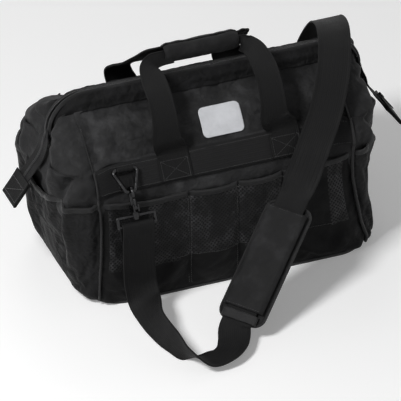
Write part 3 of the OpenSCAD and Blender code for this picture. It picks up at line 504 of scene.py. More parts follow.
def binding_finish(name, colour):
    """Ribbed binding tape, with painted shade between its ribs."""
    f = Finish(name, colour, 0.6, Sheen_Weight=0.1, Sheen_Roughness=0.4, Specular_IOR_Level=0.25)
    ribs = f.sine(f.uv()[1], 1.1)
    worn = f.noise(14, 4, 0.6)
    shade = f.ramp(worn, (0.3, 0.7), (0.55, 1.0), (0.8, 1.6))
    # Painted shade between the ribs
    return f.done(f.mix(f.level(ribs, 0, 1, 0.45, 0), shade, THREAD_GAP_SHADE), None,
                  f.relief(ribs, 0.2, f.relief(f.noise(9, 3), 0.4)))


def thread_finish(name, colour):
    """Twisted sewing thread with a soft sheen."""
    f = Finish(name, colour, 0.5, Sheen_Weight=0.3)
    twist = f.noise(0.5, 2, 0.5)
    worn = f.noise(20, 3)
    return f.done(f.ramp(worn, (0.3, 0.7), (0.7, 1.4)), None, f.relief(twist, 0.08))


def netting_finish(name, colour):
    """Knitted net: shiny strands with painted highlights in patches, round small round holes painted with shade."""
    f = Finish(name, colour, 0.5, Sheen_Weight=0.02, Specular_IOR_Level=0.2)
    u, v = f.uv()
    cells = f.math("MULTIPLY", f.sine(f.math("ADD", u, v), 6.2), f.sine(f.math("SUBTRACT", u, v), 6.2))
    holes = f.level(cells, 0.12, 0.34, 0, 1)
    patch = f.noise(22, 5, 0.7)
    # Painted highlights: the strands lighten up to eight and a half times in patches
    strand_with_highlights = f.ramp(patch, (0.38, 0.45), (0.5, 1.4), (0.6, 8.5))
    # Painted shade: the holes are near black for the shaded wall behind the net
    return f.done(f.mix(holes, strand_with_highlights, (0.0025, 0.0025, 0.003, 1)), f.level(holes, 0, 1, 0.42, 0.9),
                  f.relief(holes, -0.7, f.relief(f.noise(20, 3), 0.9)))


def metal_finish(name, colour, rough):
    """Scuffed metal with a fine drawn grain."""
    f = Finish(name, colour, rough, Metallic=1.0)
    scuffed = f.noise(7, 5, 0.7)
    shade = f.ramp(scuffed, (0.35, 0.7), (0.55, 1.0), (0.72, 1.3))
    fine = f.noise(0.9, 2, 0.5, (1, 1, 6))
    return f.done(shade, f.level(scuffed, 0.3, 0.75, rough - 0.1, rough + 0.1), f.relief(fine, 0.02))


def moulded_finish(name, colour, rough, grain=0.7):
    """Grained moulded plastic."""
    f = Finish(name, colour, rough)
    pebbles = f.node("ShaderNodeTexVoronoi", f.node("ShaderNodeTexCoord").outputs["Object"])
    pebbles.inputs["Scale"].default_value = 1 / (grain * 2.2 * MM)
    worn = f.noise(22, 4, 0.6)
    return f.done(f.ramp(worn, (0.3, 0.8), (0.6, 1.0), (0.8, 1.5)), f.level(worn, 0.3, 0.7, rough - 0.1, rough + 0.1),
                  f.relief(pebbles.outputs[0], 0.12))


def label_finish(name):
    """Bare satin patch with a fine woven ground, greyed with painted shade between its threads."""
    f = Finish(name, (0.7, 0.71, 0.74), 0.55, Sheen_Weight=0.2)
    u, v = f.uv()
    weave = f.math("MULTIPLY", f.sine(u, 0.9), f.sine(v, 0.7))
    faded = f.noise(18, 4, 0.6)
    shade = f.ramp(faded, (0.3, 0.86), (0.55, 0.98), (0.8, 1.06))
    # Painted shade between the threads: the weave greys towards a darker tone
    return f.done(f.mix(f.level(weave, 0, 1, 0, 0.12), shade, (0.45, 0.46, 0.5, 1)), None,
                  f.relief(weave, 0.08, f.relief(f.noise(12, 2), 0.25)))


BLACK = (0.025, 0.025, 0.0258)
pack_cloth = woven("pack_cloth", BLACK, 1.1, 0.16, rough=0.68, crease=1.3)
pocket_cloth = woven("pocket_cloth", (0.0032, 0.0032, 0.0034), 1.1, 0.16)
end_cloth = woven("end_cloth", (0.0098, 0.0098, 0.0102), 1.1, 0.16, rough=0.68, crease=2.2)
lining = woven("lining", (0.01, 0.01, 0.0105), 0.8, 0.08, rough=0.7, crease=0.3)
pad_cloth = woven("pad_cloth", (0.0142, 0.0142, 0.0147), 1.0, 0.14, rough=0.7, crease=0.5, sheen=0.03, through=True)
sleeve_cloth = woven("sleeve_cloth", (0.006, 0.006, 0.0064), 1.1, 0.16, rough=0.75, crease=2.2)
netting = netting_finish("netting", (0.0038, 0.0038, 0.004))
webbing = webbing_finish("webbing", (0.0078, 0.0078, 0.0081))
band_webbing = webbing_finish("band_webbing", (0.0138, 0.0138, 0.0143))
tape = binding_finish("binding_tape", (0.0105, 0.0105, 0.011))
thread = thread_finish("sewing_thread", (0.012, 0.012, 0.0125))
zip_cloth = woven("zip_cloth", (0.012, 0.012, 0.0125), 0.7, 0.1, rough=0.7, crease=0.15)
teeth = moulded_finish("zip_teeth", (0.012, 0.012, 0.013), 0.35, 0.5)
dark_metal = metal_finish("blackened_steel", (0.034, 0.034, 0.035), 0.24)
rod_metal = metal_finish("plain_steel", (0.42, 0.42, 0.43), 0.4)
black_plastic = moulded_finish("black_plastic", (0.014, 0.014, 0.015), 0.45)
bottom_plastic = moulded_finish("bottom_plastic", (0.012, 0.012, 0.0125), 0.6, 1.6)
board_plastic = moulded_finish("board_plastic", (0.03, 0.03, 0.03), 0.6, 1.2)
label_cloth = label_finish("label_cloth")


def paint(obj, *finishes):
    zones = [face.material_index for face in obj.data.polygons]
    obj.data.materials.clear()
    for finish in finishes:
        obj.data.materials.append(finish)
    obj.data.polygons.foreach_set("material_index", [min(zone, len(finishes) - 1) for zone in zones])
    return obj


def repaint(node, finish):
    """New material on a CAD node's own slots."""
    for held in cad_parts[node].material_slots:
        held.material = finish


def sewn(obj, body, finish, slot, *nodes):
    """Dresses a piece: its material, the body that it rides on and the solids that it stands for; a piece given
    between two bodies only has its place fixed.
    """
    paint(obj, *(finish if isinstance(finish, tuple) else (finish,)))
    if isinstance(body, tuple):
        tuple(body[2])
        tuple(body[3])
        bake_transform(obj)
    else:
        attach(obj, body)
    if nodes:
        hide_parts(*nodes)
    return obj


# ---- Camera ----

def set_camera():
    """The photograph's view, from far enough to be nearly parallel."""
    distance = 9.0
    back = Vector((-0.3033, -0.7737, 0.5563))
    aim = Vector((-0.044, -0.098, 0.130))
    data = bpy.data.cameras.new("camera")
    data.lens, data.sensor_width = 572.4, 36
    data.clip_end = 20
    eye = bpy.data.objects.new("camera", data)
    bpy.context.collection.objects.link(eye)
    eye.location = aim + back * distance
    eye.rotation_mode = "QUATERNION"
    eye.rotation_quaternion = (-back).to_track_quat("-Z", "Y")
    bpy.context.scene.camera = eye


set_camera()

# ---- Joint places handed with soft pieces, in metres ----

FOLDS = {"front": ((0, -0.089, 0.214), (0, -0.028, 0.268)), "rear": ((0, 0.089, 0.214), (0, 0.028, 0.268))}


def between(half):
    """The bag, the half's mouth and its two fold places, given for a soft upper piece."""
    return ("bag", "mouth_" + half, *FOLDS[half])


# ---- Cloth that sags and pads that swell, simulated ----

hanging = []


def hang(obj, held, slack, out_cap, in_cap):
    """Keeps a sheet for the simulation, with its slack and how far it may go out and in."""
    hanging.append((obj, held, slack, out_cap, in_cap))


def cut(obj, grid, way, *under):
    """Measures a panel's width and height along its cloth, and keeps neither."""
    across = max(along(row)[-1] for row in grid)
    up = max(along(grid[:, j])[-1] for j in range(grid.shape[1]))


def cloth_on(obj, frames, mass, stretch, bending, gravity):
    """Makes a piece cloth over the first frames, and gives its settings."""
    mod = obj.modifiers.new("cloth", "CLOTH")
    cloth = mod.settings
    cloth.quality = 5
    cloth.mass = mass
    cloth.tension_stiffness = cloth.compression_stiffness = stretch
    cloth.bending_stiffness = bending
    cloth.effector_weights.gravity = gravity
    mod.collision_settings.use_collision = False
    mod.point_cache.frame_start, mod.point_cache.frame_end = 1, frames
    return cloth


def run_cloth(pieces, frames):
    """Runs the cloth of the pieces together: where each one's points were, and how far they move."""
    scene = bpy.context.scene
    before = [np.array([v.co for v in obj.data.vertices]) for obj in pieces]
    for number in range(1, frames + 1):
        scene.frame_set(number)
    graph = bpy.context.evaluated_depsgraph_get()
    moves = [np.array([v.co for v in obj.evaluated_get(graph).data.vertices]) - old
             for obj, old in zip(pieces, before)]
    for obj in pieces:
        obj.modifiers.clear()
    scene.frame_set(1)
    return zip(before, moves)


def move_points(obj, before, move, cap):
    """Moves a piece's points, none of them further than the cap in metres."""
    move *= np.minimum(1, cap / np.maximum(np.linalg.norm(move, axis=1), 1e-9))[:, None]
    obj.data.vertices.foreach_set("co", (before + move).ravel())
    obj.data.update()


def let_sag(frames=22):
    """Lets the cloth sheets sag between the seams that hold them."""
    for obj, held, slack, out_cap, in_cap in hanging:
        group = obj.vertex_groups.new(name="held")
        for i in np.nonzero(held > 0)[0]:
            group.add([int(i)], float(held[i]), "REPLACE")
        cloth = cloth_on(obj, frames, mass=0.15, stretch=18, bending=1.2, gravity=0.6)
        cloth.shear_stiffness = 6
        cloth.vertex_group_mass = "held"
        cloth.shrink_min = -slack
    results = run_cloth([row[0] for row in hanging], frames)
    for (obj, held, slack, out_cap, in_cap), (before, move) in zip(hanging, results):
        out = np.array([v.normal for v in obj.data.vertices])
        deep = np.sum(move * out, 1)
        move += out * (np.clip(deep, -in_cap * MM, out_cap * MM) - deep)[:, None]
        move_points(obj, before, move, max(in_cap, out_cap) * MM * 1.3)
        obj.vertex_groups.clear()


def plump(pieces, pressure, cap_out, frames=16):
    """Swells closed pads under pressure and keeps them near their places."""
    for obj, voxel in pieces:
        mod = obj.modifiers.new("skin", "REMESH")
        mod.mode, mod.voxel_size = "VOXEL", voxel * MM
        cloth = cloth_on(baked(obj), frames, mass=0.2, stretch=20, bending=2, gravity=0)
        cloth.use_pressure = True
        cloth.uniform_pressure_force = pressure
    pieces = [obj for obj, voxel in pieces]
    for obj, (before, move) in zip(pieces, run_cloth(pieces, frames)):
        move_points(obj, before, move, cap_out * MM)
        obj.data.polygons.foreach_set("use_smooth", [True] * len(obj.data.polygons))
        soften(obj)


def edge_hold(rows, cols, extra=()):
    """Full hold round a sheet's edge and along the listed columns."""
    held = np.zeros((rows, cols))
    held[0], held[-1], held[:, 0], held[:, -1] = 1, 1, 1, 1
    for j in extra:
        held[:, j] = 1
    return held.ravel()


# ---- Outside pockets ----

def pocket_columns(side, count):
    """Columns of a long pocket where its dividers are sewn."""
    row = outline_row(side, 80, count)[0]
    return [int(np.argmin(abs(row[:, 0] + TOWARDS[side] * x))) for x in DIVIDERS]


def long_pocket(side):
    """Gathered pocket: bellied between its dividers, with a rim that hangs in the middle."""
    heights = np.linspace(POCKET_FOOT, POCKET_TOP + 3, 38)
    count = LONG_COLS
    grid, out = side_grid(side, heights, count, lambda z: 0.4, lambda z: 6.5)
    share = (grid[..., 2] - POCKET_FOOT) / POCKET_TOP
    columns = [0, *pocket_columns(side, count), count - 1]
    place = np.arange(count)
    belly = np.zeros(count)
    for a, b in zip(columns[:-1], columns[1:]):
        inside = (place >= a) & (place <= b)
        belly[inside] = np.sin((place[inside] - a) / (b - a) * math.pi) ** 0.7
    lift = belly[None, :] * (0.4 + 0.6 * np.sin(np.clip(share, 0, 1) * math.pi))
    move = 5.5 * lift - 4.5 * (1 - belly[None, :] ** 0.4)
    move += rumple(grid, 34, 1.8, 3.1 if side == "front" else 8.7, (1, 1, 0.7), True) * step(share * 4)
    move *= step(share * 5)
    grid = grid + out * move[..., None]
    sag = 1.6 * belly[None, :] + 9 * (1 - (grid[..., 0] / 190) ** 2).clip(0)
    grid[..., 2] -= sag * step((share - 0.55) / 0.45)
    return grid, columns


def netted(u, z, columns):
    """Where the long pocket is net: its middle part and a strip near each end, above the plain foot."""
    a, b = columns[1], columns[3]
    last = columns[-1]
    sides = (u > last * 0.025) & (u < last * 0.11) | (u > last * 0.87) & (u < last * 0.95)
    foot = 58 + 8 * noise.noise(Vector((u / 9, 4.4, 0)))
    return (z > foot) & (z < POCKET_TOP - 4) & ((u > a - 18) & (u < b) | sides & (z > 60))


for side in HALVES:
    grid, columns = long_pocket(side)
    rows, cols = grid.shape[:2]
    piece = cloth_sheet(side + "_pockets", grid)
    hang(piece, edge_hold(rows, cols, columns[1:-1]), slack=0.02, out_cap=6, in_cap=5)
    cut(piece, grid, "gathered", side + "_wall")
    paint(piece, pocket_cloth, netting)
    for face in piece.data.polygons:
        i, j = divmod(face.index, cols - 1)
        if netted(j, grid[i, j, 2], columns):
            face.material_index = 1


def fold_at(across, middle, width):
    """Height of a soft fold, 1 on its crest."""
    return np.exp(-(((across - middle) / width) ** 2))


def end_pocket(side):
    """Slack pocket: its rim hangs in the middle, and it folds beside the front corner."""
    heights = np.linspace(POCKET_FOOT, POCKET_TOP + 3, 44)
    grid, out = side_grid(side, heights, END_COLS, lambda z: 0.4, lambda z: 6.5)
    share = (grid[..., 2] - POCKET_FOOT) / POCKET_TOP
    y = grid[..., 1] if side == "left" else grid[..., 1] * 0.8 + 6
    up = (grid[..., 2] - 30) / 112
    ridge = -76 - 21 * up
    belly = np.cos(np.clip(y / 118, -1, 1) * math.pi / 2) ** 0.6
    move = rumple(grid, 46, 3.6, 5.3 if side == "left" else 1.9, (1, 1, 0.6), True) * belly
    move += 8 * fold_at(y, ridge, 7) - 12 * fold_at(y, ridge + 24, 14) + 3 * fold_at(y, -8 + 12 * up, 22)
    move += 5 * fold_at(y, 80 - 12 * up, 10) - 7 * fold_at(y, 56, 14)
    move += belly * np.sin(np.clip(share, 0, 1) * math.pi * 0.9)
    hem = step((118 - abs(grid[..., 1])) / 18)
    grid = grid + out * (np.clip(move, -11, 7.5) * hem * step(share * 3.2))[..., None]
    grid[..., 2] -= 21 * step((share - 0.42) * 1.8) * np.exp(-(((y + 14) / 46) ** 2))
    return grid


for side in ENDS:
    grid = end_pocket(side)
    piece = cloth_sheet(side + "_end_pocket_cloth", grid)
    hang(piece, edge_hold(*grid.shape[:2]), slack=0.035, out_cap=7, in_cap=6)
    cut(piece, grid, "gathered", side + "_end_wall")

# ---- Walls above and behind the pockets ----


def wall_grid(side):
    """A side's own cloth: plain behind the pocket, soft above it."""
    heights = np.concatenate([np.linspace(POCKET_FOOT, 150, 18), np.linspace(156, WALL_TOP + 1, 16)])
    count, sink = (96, lambda z: 0) if side in HALVES else (60, end_sink)
    grid, out = side_grid(side, heights, count, lambda z: wall_inset(z) + 0.3, None, sink)
    y, z = grid[..., 1], grid[..., 2]
    share = step((z - 150) / 40)
    if side in ENDS:
        hollow = -86 - (z - 195) * 0.45
        move = rumple(grid, 40, 4.0, 2.2, (1, 1, 0.8), True)
        move += -24 * fold_at(y, hollow, 12) * step((214 - z) / 8) + 8 * fold_at(y, hollow + 30, 14)
        move += -12 * fold_at(y, 84, 12) + 6 * fold_at(y, 56, 13)
        move += 9 * fold_at(y, 0, 34) * fold_at(z, 181, 11)
        move *= 1 - np.exp(-((y ** 2 + (z - HINGE_H) ** 2) / 15 ** 2))
        move *= step((half_dep(200) + 12 - abs(y)) / 14)
        grid = grid + out * (np.clip(move, -22, 10) * share)[..., None]
    else:
        move = rumple(grid, 50, 1.4, 6.1, (0.7, 1, 1.2), True)
        move = np.where(z > 174, np.minimum(move, 0) - 0.5, move)
        grid = grid + out * (move * share * step((WALL_TOP - z) / 10))[..., None]
    return grid


for side in HALVES + ENDS:
    grid = wall_grid(side)
    piece = cloth_sheet(side + "_side", grid)
    if side in ENDS:
        hang(piece, edge_hold(*grid.shape[:2]), slack=0.02, out_cap=5, in_cap=5)

# ---- Soft upper panels up to the mouth ----


def drawn_in(row, share):
    """Draws a level of cloth in to the sleeve's foot, over the last three tenths of its rise."""
    pull = step((share - 0.7) / 0.3) * (SLEEVE_FOOT_Y - np.maximum(row[:, 1], 0))
    row[:, 1] += pull * np.clip(2.25 - abs(row[:, 0]) / 160, 0, 1)
    return row


def upper_grid(half):
    """Panel from the wall's top to under the sleeve, drawn in to the mouth."""
    rows, count = 26, 100
    grid = np.empty((rows, count, 3))
    for i, s in enumerate(np.linspace(0, 1, rows)):
        z = WALL_TOP - 1 + s * (UPPER_TOP - WALL_TOP + 1)
        grid[i] = drawn_in(outline_row("rear", z, count)[0], s)
    if half == "front":
        grid = grid * [-1, -1, 1]
    out = normals_of(grid)
    share = np.linspace(0, 1, rows)[:, None]
    place = np.linspace(-1, 1, count)[None, :]
    edge = step((1 - abs(place)) * 8) * np.sin(np.pi * share) ** 0.5
    move = rumple(grid, 58, 5.5, 4.4 if half == "front" else 9.9, (1, 1, 0.7), True)
    move += rumple(grid, 24, 1.6, 1.1, (1, 1, 0.8), True)
    move -= 4.0 * np.exp(-((abs(place) - 0.94) / 0.05) ** 2) * share
    if half == "front":
        move *= 1 - 0.9 * np.exp(-((grid[..., 0] / 46) ** 4 + ((grid[..., 2] - 238) / 30) ** 4))
    return grid + out * (move * edge)[..., None]


for half in HALVES:
    grid = upper_grid(half)
    piece = cloth_sheet(half + "_upper", grid)
    hang(piece, edge_hold(*grid.shape[:2]), slack=0.018, out_cap=5, in_cap=5)
    cut(piece, grid, "stretched", half + "_wall")

# ---- Gussets: the soft hollow at each end under the mouth ----


def gusset_grid(half, end):
    """Fan of cloth from the end wall's top to the frame's leg."""
    rows, count = 20, 26
    grid = np.empty((rows, count, 3))
    for i, s in enumerate(np.linspace(0, 1, rows)):
        z = WALL_TOP - 1 + s * 53
        row = outline_row("right", z, 120, 0, None, end_sink(z) * (1 - 0.4 * s))[0]
        row = drawn_in(row[row[:, 1] >= 1.0], (z - WALL_TOP + 1) / (UPPER_TOP + 1 - WALL_TOP))
        leg_y = (z - HINGE_H) * math.tan(LEAN) + 5.5
        leg_x = HINGE_X + 2.5 - 18 * (max(0, z - 255) / 25) ** 2
        start = np.array([[min(leg_x, row[0, 0]), leg_y, z]])
        tail = row[row[:, 1] > leg_y + 4]
        grid[i] = smooth_path(np.vstack([start, tail[::6], tail[-1:]]), count)
    share = np.linspace(0, 1, rows)[:, None]
    place = np.linspace(0, 1, count)[None, :]
    out = normals_of(grid)
    move = rumple(grid, 26, 3.5, 7.7, (1, 1, 0.8), True)
    move += 5 * np.sin(place * math.pi) * (1 - share) - 5 * np.exp(-(((share - 0.45 - 0.2 * place) / 0.1) ** 2))
    move += 4 * np.exp(-(((share - 0.7 + 0.1 * place) / 0.13) ** 2))
    move = move * np.sin(np.pi * place) ** 0.6 * np.sin(np.pi * np.clip(share + 0.12, 0, 1)) ** 0.5
    grid = (grid + out * move[..., None]) * [TOWARDS[end], TOWARDS[half], 1]
    if (end, half) in (("right", "front"), ("left", "rear")):
        grid[..., 0] = as_filled(grid)[..., 0]
    if TOWARDS[end] != TOWARDS[half]:
        grid = grid[:, ::-1]
    return grid


for half in HALVES:
    for end in ENDS:
        grid = gusset_grid(half, end)
        piece = cloth_sheet(f"{end}_{half}_fold", grid)
        cut(piece, grid, "folded", end + "_end_wall")

let_sag()

for side in HALVES:
    piece = thicken(soften(bpy.data.objects[side + "_pockets"]), 2)
    sewn(piece, "bag", (pocket_cloth, netting), "pocket_cloth", side + "_pocket_panel")
    wall = thicken(bpy.data.objects[side + "_side"], WALL - 0.5)
    sewn(wall, "bag", pack_cloth, "body_cloth", side + "_wall")
    upper = thicken(soften(bpy.data.objects[side + "_upper"]), 1.6)
    sewn(upper, between(side), pack_cloth, "body_cloth", side + "_upper_panel")
for side in ENDS:
    piece = thicken(soften(bpy.data.objects[side + "_end_pocket_cloth"]), 2)
    sewn(piece, "bag", end_cloth, "pocket_cloth", side + "_end_pocket")
    wall = thicken(soften(bpy.data.objects[side + "_side"]), WALL - 0.5)
    sewn(wall, "bag", pack_cloth, "body_cloth", side + "_end_wall")
    for half in HALVES:
        fold = thicken(soften(bpy.data.objects[f"{side}_{half}_fold"]), 1.4)
        sewn(fold, between(half), pack_cloth, "body_cloth", f"{side}_{half}_gusset")

# ---- Trim that follows the cloth ----


def surface_of(name):
    """Search tree over a cloth sheet, in millimetres."""
    mesh = bpy.data.objects[name].data
    return BVHTree.FromPolygons([v.co / MM for v in mesh.vertices], [face.vertices[:] for face in mesh.polygons])


def laid(points, tree, way, lift):
    """Moves points along a direction onto a surface, then lifts them off it."""
    way = Vector(way).normalized()
    out = []
    for p in points:
        hit = tree.ray_cast(Vector(p) - way * 120, way, 240)[0]
        out.append((hit if hit else Vector(p)) - way * lift)
    return np.array(out)


def rim_of(name, cols):
    """Top edge of a pocket as it hangs, with its outward normals."""
    verts = list(bpy.data.objects[name].data.vertices)[-cols:]
    return np.array([v.co / MM for v in verts]), np.array([v.normal for v in verts])


def folded_tape(name, rim, normal, tall, thick, raised):
    """Binding folded over an edge, a little fuller at its two borders."""
    flat = normal * [1, 1, 0]
    flat /= np.linalg.norm(flat, axis=1)[:, None]
    centres = smooth_path(np.hstack([rim - flat + [0, 0, raised], flat]), len(rim) * 3)
    turn = centres[:, 3:] / np.linalg.norm(centres[:, 3:], axis=1)[:, None]
    a = np.radians(np.arange(0, 360, 22.5))
    profile = np.stack([tall / 2 * np.sign(np.cos(a)) * abs(np.cos(a)) ** 0.7,
                        thick / 2 * np.sign(np.sin(a)) * abs(np.sin(a)) ** 0.6], 1)
    run = along(centres[:, :3])
    wave = np.array([noise.noise(Vector((s / 9, 3.3, 0))) for s in run])[:, None]
    up = np.array([[0, 0, 1.0]] * len(run)) * (1 + 0.06 * wave)
    return flip_out(sweep(name, centres[:, :3] + turn * wave * 0.3, up, turn, profile))


for side in HALVES + ENDS:
    cloth, cols, tall, thick = ("_end_pocket_cloth", END_COLS, 8.2, 4.4)
    if side in HALVES:
        cloth, cols, tall, thick = ("_pockets", LONG_COLS, 8.6, 4.6)
    binding = folded_tape(side + "_pocket_edge", *rim_of(side + cloth, cols), tall, thick, raised=1.6)
    sewn(binding, "bag", tape, "binding", side + "_pocket_binding")


def corner_line(heights, inset, sx, sy):
    """Line up one of the bag's four upright seams."""
    rows = []
    for z in heights:
        x, y = seam_point(z, inset(z))
        rows.append([sx * x, sy * y, z])
    return as_filled(rows)


def piping_inset(z):
    """The piping lies behind the pockets' seam, and stands out above them."""
    share = step((z - 166) / 18)
    return 3.4 * (1 - share) - 3.4 * share


piping_parts = []
for end in ENDS:
    for half in HALVES:
        sx, sy = TOWARDS[end], TOWARDS[half]
        line = corner_line(np.linspace(9, WALL_TOP, 72), piping_inset, sx, sy)
        piping_parts.append(tube("piping_part", line, 1.7 if sx < 0 else 2.2, 10))
        seam = corner_line(np.linspace(WALL_TOP - 2, 258, 24), lambda z: -1.0, sx, sy)
        cord = flip_out(tube(f"{end}_{half}_seam", seam, 1.1 if sx < 0 else 1.6, 8))
        sewn(cord, between(half), tape, "binding")


def joined(name, parts):
    """One object of several, kept under one name."""
    verts, faces, uvs = [], [], []
    for part in parts:
        base = len(verts)
        verts += [v.co / MM for v in part.data.vertices]
        faces += [[base + i for i in face.vertices] for face in part.data.polygons]
        own = [(0, 0)] * len(part.data.vertices)
        if part.data.uv_layers:
            for loop, place in zip(part.data.loops, part.data.uv_layers[0].data):
                own[loop.vertex_index] = tuple(place.uv)
        uvs += own
        bpy.data.objects.remove(part)
    return flip_out(new_object(name, verts, faces, uvs))


sewn(joined("corner_cords", piping_parts), "bag", tape, "binding", "corner_piping")

# ---- Bands under the handles ----

for side in HALVES:
    grid, out = side_grid(side, np.linspace(182.3, WALL_TOP - 0.4, 9), 150, lambda z: -1.3)
    wave = rumple(grid, 30, 0.7, 5.5 if side == "front" else 2.4, (1, 1, 0.3))
    strip = cloth_sheet(side + "_band", grid + out * wave[..., None])
    for place in strip.data.uv_layers[0].data:
        place.uv = (place.uv[1], place.uv[0])
    thicken(strip, 2.2, offset=0)
    sewn(strip, "bag", band_webbing, "webbing", side + "_webbing_band")

# ---- Steel frame's sleeves, with the rods inside ----

RISE, FRAME_R, LEG_START = 71.63, 43.5, 25.81
FRAME_SHIFT = 1.6  # the rear half's legs are outside the front half's


def frame_line(half, leg_from, count):
    """U of the frame in its own plane, as rows of places and outward normals, and the length up to each."""
    arc = np.radians(np.linspace(180, 90, 24))
    straight = half - FRAME_R
    left = [[-half, b, -1, 0] for b in np.linspace(leg_from, RISE - FRAME_R, 4)[:-1]]
    bend = [[-straight + FRAME_R * math.cos(a), RISE - FRAME_R + FRAME_R * math.sin(a), math.cos(a), math.sin(a)]
            for a in arc]
    half_way = np.array(left + bend)
    rows = np.vstack([half_way, (half_way * [-1, 1, -1, 1])[::-1]])
    return evenly(rows, count, axes=2)


def frame_to_bag(a, b, w, half):
    """A place in the frame's plane, and off it, in the bag's own space."""
    y = b * math.sin(LEAN) - w * math.cos(LEAN)
    z = HINGE_H + b * math.cos(LEAN) + w * math.sin(LEAN)
    return [a, max(y, 0.25) * TOWARDS[half], z]


def rings(name, rows):
    """Closed skin through rows of points of equal count, capped at both ends."""
    run, about = along(np.array([row[0] for row in rows])), along(np.array(rows[len(rows) // 2]))
    return flip_out(ring_skin(name, [p for row in rows for p in row], run, about))


def sleeve(half):
    """Folded strip with a channel round the rod, puckered where it is sewn."""
    line, run = frame_line(HINGE_X + TOWARDS[half] * FRAME_SHIFT, LEG_START - 3, 240)
    turn = math.radians(50)
    rows = []
    upper = np.linspace(-12.6, 12.2, 13)
    for (a, b, na, nb), s in zip(line, run):
        ring = []
        for i, (place, sign) in enumerate([(p, 1) for p in upper] + [(p, -1) for p in upper[::-1]]):
            swell = 3.1 * math.exp(-(place / 5.2) ** 2)
            seed = Vector((s / 11, place / 9, 4 if half == "front" else 9))
            pucker = noise.noise(seed) * 1.1 + noise.noise(seed * 2.3) * 0.6
            deep = sign * (1.3 + swell) + (pucker if sign > 0 else 0)
            slid = place + (noise.noise(Vector((s / 14, 7, 0))) * 1.2 if i in (0, 25) else 0)
            px = slid * math.cos(turn) + deep * math.sin(turn)
            py = slid * math.sin(turn) - deep * math.cos(turn)
            ring.append(frame_to_bag(a + na * px, b + nb * px, py, half))
        rows.append(ring)
    return rings(half + "_sleeve", rows)


def zip_strip(half):
    """Zip tape under the sleeve, and the line of its teeth."""
    sign = TOWARDS[half]
    line, run = frame_line(HINGE_X + sign * FRAME_SHIFT, LEG_START - 2, 200)
    drop = HINGE_H - RISE * (1 - math.cos(LEAN))
    profile = [(11.0, 1.3), (11.2, 3.2), (10.9, 5.2), (9.6, 8.2), (8.7, 8.0), (9.9, 5.0), (10.1, 3.0), (9.9, 1.3)]
    rows = []
    for (a, b, na, nb), s in zip(line, run):
        wave = noise.noise(Vector((s / 16, 2, 6))) * 0.35
        rows.append([[a + na * (px + wave), sign * y, drop + b + nb * (px + wave)] for px, y in profile])
    teeth_line = [[a + na * 10.6, sign * 1.35, drop + b + nb * 10.6] for a, b, na, nb in line]
    return rings(half + "_tape", rows), np.array(teeth_line)


# ---- Repeats: stitches and zip teeth ----


def repeat_tree():
    """Short round pieces set evenly along lines, each turned to its line."""
    tree = bpy.data.node_groups.new("pieces_along_a_line", "GeometryNodeTree")
    face, new = tree.interface, tree.nodes.new
    face.new_socket("Line", in_out="INPUT", socket_type="NodeSocketGeometry")
    for label in ("Pitch", "Length", "Radius", "Unevenness"):
        face.new_socket(label, in_out="INPUT", socket_type="NodeSocketFloat")
    face.new_socket("Finish", in_out="INPUT", socket_type="NodeSocketMaterial")
    face.new_socket("Pieces", in_out="OUTPUT", socket_type="NodeSocketGeometry")
    given, result = new("NodeGroupInput"), new("NodeGroupOutput")
    curve, spread = new("GeometryNodeMeshToCurve"), new("GeometryNodeResampleCurve")
    spread.mode = "LENGTH"
    shape = new("GeometryNodeMeshCylinder")
    shape.inputs["Vertices"].default_value = 6
    tangent, aligned = new("GeometryNodeInputTangent"), new("FunctionNodeAlignRotationToVector")
    aligned.axis = "Z"
    least = new("ShaderNodeMath")
    least.operation = "SUBTRACT"
    least.inputs[0].default_value = 1
    vary = new("FunctionNodeRandomValue")
    vary.inputs["Seed"].default_value = 7
    vary.inputs[3].default_value = 1.0
    placed, real = new("GeometryNodeInstanceOnPoints"), new("GeometryNodeRealizeInstances")
    smooth, coat = new("GeometryNodeSetShadeSmooth"), new("GeometryNodeSetMaterial")
    for a, b in ((given.outputs["Line"], curve.inputs[0]), (curve.outputs[0], spread.inputs[0]),
                 (given.outputs["Pitch"], spread.inputs["Length"]), (given.outputs["Length"], shape.inputs["Depth"]),
                 (given.outputs["Radius"], shape.inputs["Radius"]), (tangent.outputs[0], aligned.inputs["Vector"]),
                 (given.outputs["Unevenness"], least.inputs[1]), (least.outputs[0], vary.inputs[2]),
                 (spread.outputs[0], placed.inputs["Points"]), (shape.outputs["Mesh"], placed.inputs["Instance"]),
                 (aligned.outputs[0], placed.inputs["Rotation"]), (vary.outputs[1], placed.inputs["Scale"]),
                 (placed.outputs[0], real.inputs[0]), (real.outputs[0], smooth.inputs[0]),
                 (smooth.outputs[0], coat.inputs[0]), (given.outputs["Finish"], coat.inputs["Material"]),
                 (coat.outputs[0], result.inputs[0])):
        tree.links.new(a, b)
    return tree


REPEATS = repeat_tree()
TEETH = (1.9, 1.25, 1.3, 0)  # pitch, length, radius and unevenness
STITCHES = (3.6, 2.7, 0.32, 0.15)


def set_along(name, lines, finish, pitch, length, radius, uneven):
    """Pieces along lines of points, made a plain mesh."""
    verts, edges = [], []
    for line in lines:
        base = len(verts)
        verts += list(line)
        edges += [(base + i, base + i + 1) for i in range(len(line) - 1)]
    obj = new_object(name, verts, [], edges=edges)
    mod = obj.modifiers.new("repeat", "NODES")
    mod.node_group = REPEATS
    values = {"Pitch": pitch * MM, "Length": length * MM, "Radius": radius * MM, "Unevenness": uneven,
              "Finish": finish}
    for item in REPEATS.interface.items_tree:
        if item.in_out == "INPUT" and item.name in values:
            mod[item.identifier] = values[item.name]
    return baked(obj)


seams = {}


def sew(body, *lines):
    """Keeps stitch lines for the body that they ride on."""
    seams.setdefault(body, []).extend(np.asarray(line, float) for line in lines)


def zigzag(spots, count):
    """Stitch line from spot to spot."""
    return np.vstack([np.linspace(a, b, count) for a, b in zip(spots[:-1], spots[1:])])


